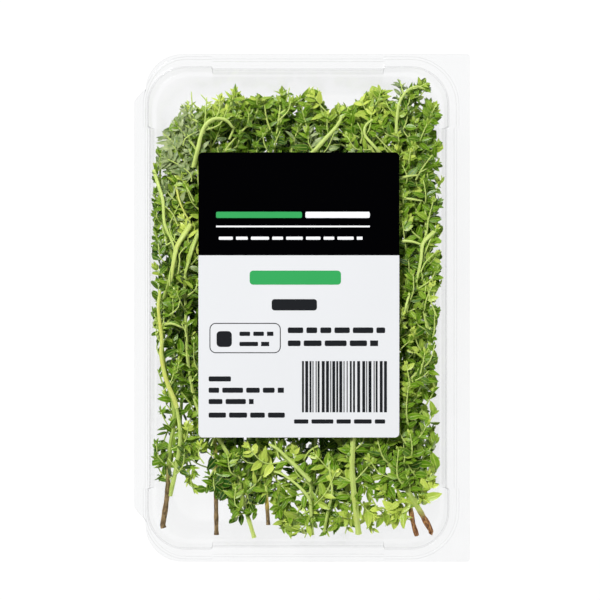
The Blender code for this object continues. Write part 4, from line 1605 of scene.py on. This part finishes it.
                [(41.0, -81.3, 19.5), (39.4, -75.6, 20.5), (38, -66, 20), (38, -56, 21), (38.7, -47.2, 23),
                 (36.5, -37, 23), (38.2, -26.5, 24), (42.6, -21, 24), (45.5, -13, 23), (44, -4, 23),
                 (42, 9.6, 24), (43, 17, 25), (44, 24, 25), (43.5, 38, 23), (38, 50, 22), (33.7, 61, 24),
                 (34, 71, 24.6), (36.6, 76.5, 23.6), (41, 78.5, 21)],
                0.80, 0.07, 14, 0.36, 0.60, 5.4, 0.85, 1, 10, 0.22,
                twigs=[
                    (0.56, 1.0, [(33.4, 62, 25.5), (33.6, 68, 27), (34.6, 73, 27), (37, 76.8, 27), (40.6, 78.6, 26.6),
                                 (43.6, 77.6, 25)]),
                    (0.48, 0.95, [(34.8, 46.1, 25.5), (38, 46.8, 26.8), (41.5, 47.2, 25.8)]),
                    (0.48, 0.9, [(35.5, 39, 25.5), (39, 38.6, 26.8), (42.6, 38, 25.8)]),
                    (0.72, 0.85, [(46.9, 27.0, 26), (44.8, 25, 27), (42.8, 22.4, 27), (42.1, 16.3, 27),
                                  (40.6, 9.2, 26)]),
                    (0.55, 0.9, [(35.5, 23.8, 26), (39, 23.6, 27), (42.6, 22.4, 26.6)]),
                    (0.48, 0.85, [(38.3, 5.3, 25), (37, 1, 26.8), (35.9, -3.5, 25)]),
                ],
                tufts=[
                    ((44, -2, 22), (49, 8, 21), 5.6, 0.55), ((44, 18, 22), (49.8, 27, 20), 5.6, 0.55),
                    ((44, 34, 22), (49.8, 45, 20), 5.6, 0.65), ((42, 44, 22), (48.5, 58, 20), 5.4, 0.6),
                    ((43, 8, 22), (49, 17, 20), 5.6, 0.4), ((44, -16, 21), (48, -6, 20), 5.6, 0.55),
                    ((40, 55, 21), (47, 70, 19), 4.6, 0.55), ((38, 60, 22), (42, 79, 19), 4.4, 0.6),
                ], rust=1.0),
            SprigPlan(
                "thyme_sprig_24",
                [(47.0, -81.2, 20.5), (42.4, -73.0, 22), (36.9, -63.9, 23.5), (32, -56.8, 24), (25.6, -47.6, 22.5),
                 (24, -35, 20), (30, -15, 20), (36, -2.8, 23), (38.7, 6, 23), (37, 22, 20), (36, 39, 22),
                 (38, 47.5, 23), (41, 57, 21), (45, 66, 19), (45.5, 73, 18)],
                0.92, 0.062, 13, 0.38, 0.62, 5.9, 0.6, 1, 8, 0.21,
                tufts=[
                    ((41, -70, 22), (46, -64, 22), 7.4, 0.85), ((41, -70, 22), (34, -73, 22), 7.0, 0.8),
                    ((40, -66, 22), (48, -58, 21), 6.4, 0.5), ((39, -60, 21), (47.5, -48, 20), 6.4, 0.55),
                    ((38, -50, 21), (47, -38, 20), 6.2, 0.5), ((40, -40, 21), (48, -28, 20), 6.0, 0.55),
                    ((41, -30, 21), (48.5, -18, 20), 6.0, 0.5), ((36, -52, 22), (42, -62, 22), 5.8, 0.35),
                    ((28, -52, 22), (24, -60, 22), 5.4, 0.4), ((34, -60, 22), (30, -66, 22), 5.2, 0.5),
                    ((28, -71, 21.5), (38.5, -75.5, 21), 6.4, 0.85, 0.16),
                    ((20, -70, 21), (15, -76, 21), 5.0, 0.8, 0.2),
                    ((37, -64, 22), (43.5, -68, 23), 6.6, 0.8, 0.2),
                ], rust=1.0),
        ]

    def hidden_plan(self, node: str, draw: random.Random) -> SprigPlan:
        """A sprig laid along its frame node.

        Args:
            node: the node's name.
            draw: the packing's random draws.

        Returns:
            The plan.
        """
        points = np.array([v.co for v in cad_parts[node].data.vertices])
        low, high = points[:, 1].min(), points[:, 1].max()
        foot = points[points[:, 1] < low + 0.1 * MM].mean(axis=0) / MM
        head = points[points[:, 1] > high - 0.1 * MM].mean(axis=0) / MM
        line = []
        bare = draw.uniform(2, 5)
        if foot[0] < -30.0 or -10.0 < foot[0] < -5.0 or 22.0 < foot[0] < 36.0:
            foot, bare = foot + (head - foot) * (0.2 if foot[0] < 0.0 else 0.07), 8.0
        for share in (0.0, 0.14, 0.3, 0.5, 0.7, 0.86, 1.0):
            spot = foot + (head - foot) * share
            sway = math.sin(math.pi * share)
            spot = spot + np.array((draw.uniform(-4.5, 4.5) * sway, 0.0, draw.uniform(-1.2, 2.6) * sway))
            line.append(tuple(spot))
        return SprigPlan(
            node, line, radius=draw.uniform(0.45, 0.65), woody=0.0, bare=bare,
            tone=self.hidden_shaded_tone + draw.uniform(-0.12, 0.12), vigour=self.hidden_vigour,
            leaf=draw.uniform(5.8, 7.2), skin=draw.uniform(0.3, 0.8), breadth=self.hidden_breadth,
        )

    def build(self) -> list[bpy.types.Object]:
        """Make every sprig's pieces.

        Returns:
            The pieces.
        """
        draw = random.Random(self.seed)
        leaf_finish, stem_finish = LeafFinish().make(), StemFinish().make()
        plans = {plan.node: plan for plan in self.top_plans()}
        made = []
        for number, node in enumerate(sorted(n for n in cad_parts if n.startswith("thyme_sprig"))):
            plan = plans.get(node) or self.hidden_plan(node, draw)
            pieces = Sprig(plan, self.tub, self.seed * 100 + number).build(leaf_finish, stem_finish)
            made += pieces
            LOG.info("%s: %d faces", node, sum(len(p.data.polygons) for p in pieces))
        return made


# ============================================================ the studio
@dataclass
class Studio:
    """Pale floor, soft light and the camera over the lid.

    Attributes:
        frame_width: width seen at the subject.
        aim, subject_z, distance: where the camera looks, and how far above it stands.
        sensor: the camera's sensor width, in millimetres.
        horizon, surround, ceiling: the world's brightness from level to overhead.
    """

    frame_width: float = 213.0 * MM
    aim: tuple[float, float] = (-0.7 * MM, 2.8 * MM)
    subject_z: float = 25.0 * MM
    distance: float = 1.10
    sensor: float = 36.0
    horizon: float = 0.88
    surround: float = 0.29
    ceiling: float = 0.02

    def floor(self) -> None:
        """Lay the floor."""
        bpy.ops.mesh.primitive_plane_add(size=8.0, location=(0, 0, -0.0002))
        made = bpy.context.object
        made.name = "studio_floor"
        made.data.materials.append(FloorFinish().make())

    def softbox(self, name: str, place: tuple[float, float, float], size: float, power: float) -> None:
        """Hang one soft light that points at the punnet.

        Args:
            name: the light's name.
            place: where it hangs.
            size: side of its square face.
            power: its power in watts.
        """
        light = bpy.data.lights.new(name, "AREA")
        light.shape = "SQUARE"
        light.size = size
        light.energy = power
        made = bpy.data.objects.new(name, light)
        made.location = place
        made.rotation_euler = (-Vector(place)).to_track_quat("-Z", "Y").to_euler()
        bpy.context.scene.collection.objects.link(made)

    def sky(self, tree: bpy.types.NodeTree) -> None:
        """White horizon and soft surround under a dark ceiling, so level gloss stays clear."""
        place = tree.nodes.new("ShaderNodeTexCoord")
        split = tree.nodes.new("ShaderNodeSeparateXYZ")
        fade = tree.nodes.new("ShaderNodeValToRGB")
        stops = (
            (0.0, self.horizon), (0.10, self.horizon), (0.36, self.surround), (0.82, self.surround),
            (0.94, self.ceiling)
        )
        set_stops(fade.color_ramp, [(height, (level, level, level)) for height, level in stops])
        tree.links.new(place.outputs["Generated"], split.inputs[0])
        tree.links.new(split.outputs["Z"], fade.inputs[0])
        tree.links.new(fade.outputs[0], tree.nodes["Background"].inputs["Color"])

    def build(self) -> None:
        """Set the floor, the lights, the world and the camera."""
        self.floor()
        self.softbox("key_softbox", (-0.6, 0.8, 1.7), 0.42, 38.0)
        self.softbox("fill_softbox", (1.2, -0.6, 1.3), 1.0, 7.0)
        world = bpy.data.worlds.new("studio_world")
        world.use_nodes = True
        self.sky(world.node_tree)
        bpy.context.scene.world = world
        camera = bpy.data.cameras.new("camera")
        camera.sensor_width = self.sensor
        camera.lens = self.sensor * self.distance / self.frame_width
        made = bpy.data.objects.new("camera", camera)
        made.location = (*self.aim, self.subject_z + self.distance)
        bpy.context.scene.collection.objects.link(made)
        bpy.context.scene.camera = made
        bpy.context.scene.view_settings.view_transform = "Standard"


def main() -> None:
    """Build the studio, the punnet, its label and the thyme, and report each piece."""
    logging.basicConfig(level=logging.INFO, format="%(message)s")
    Studio().build()
    pieces = ClearPunnet().build() + BareLabel().build() + ThymePacking().build()
    for piece in pieces:
        LOG.info("%s: %d vertices", piece.name, len(piece.data.vertices))
    bpy.context.view_layer.update()


if __name__ == "__main__":
    main()
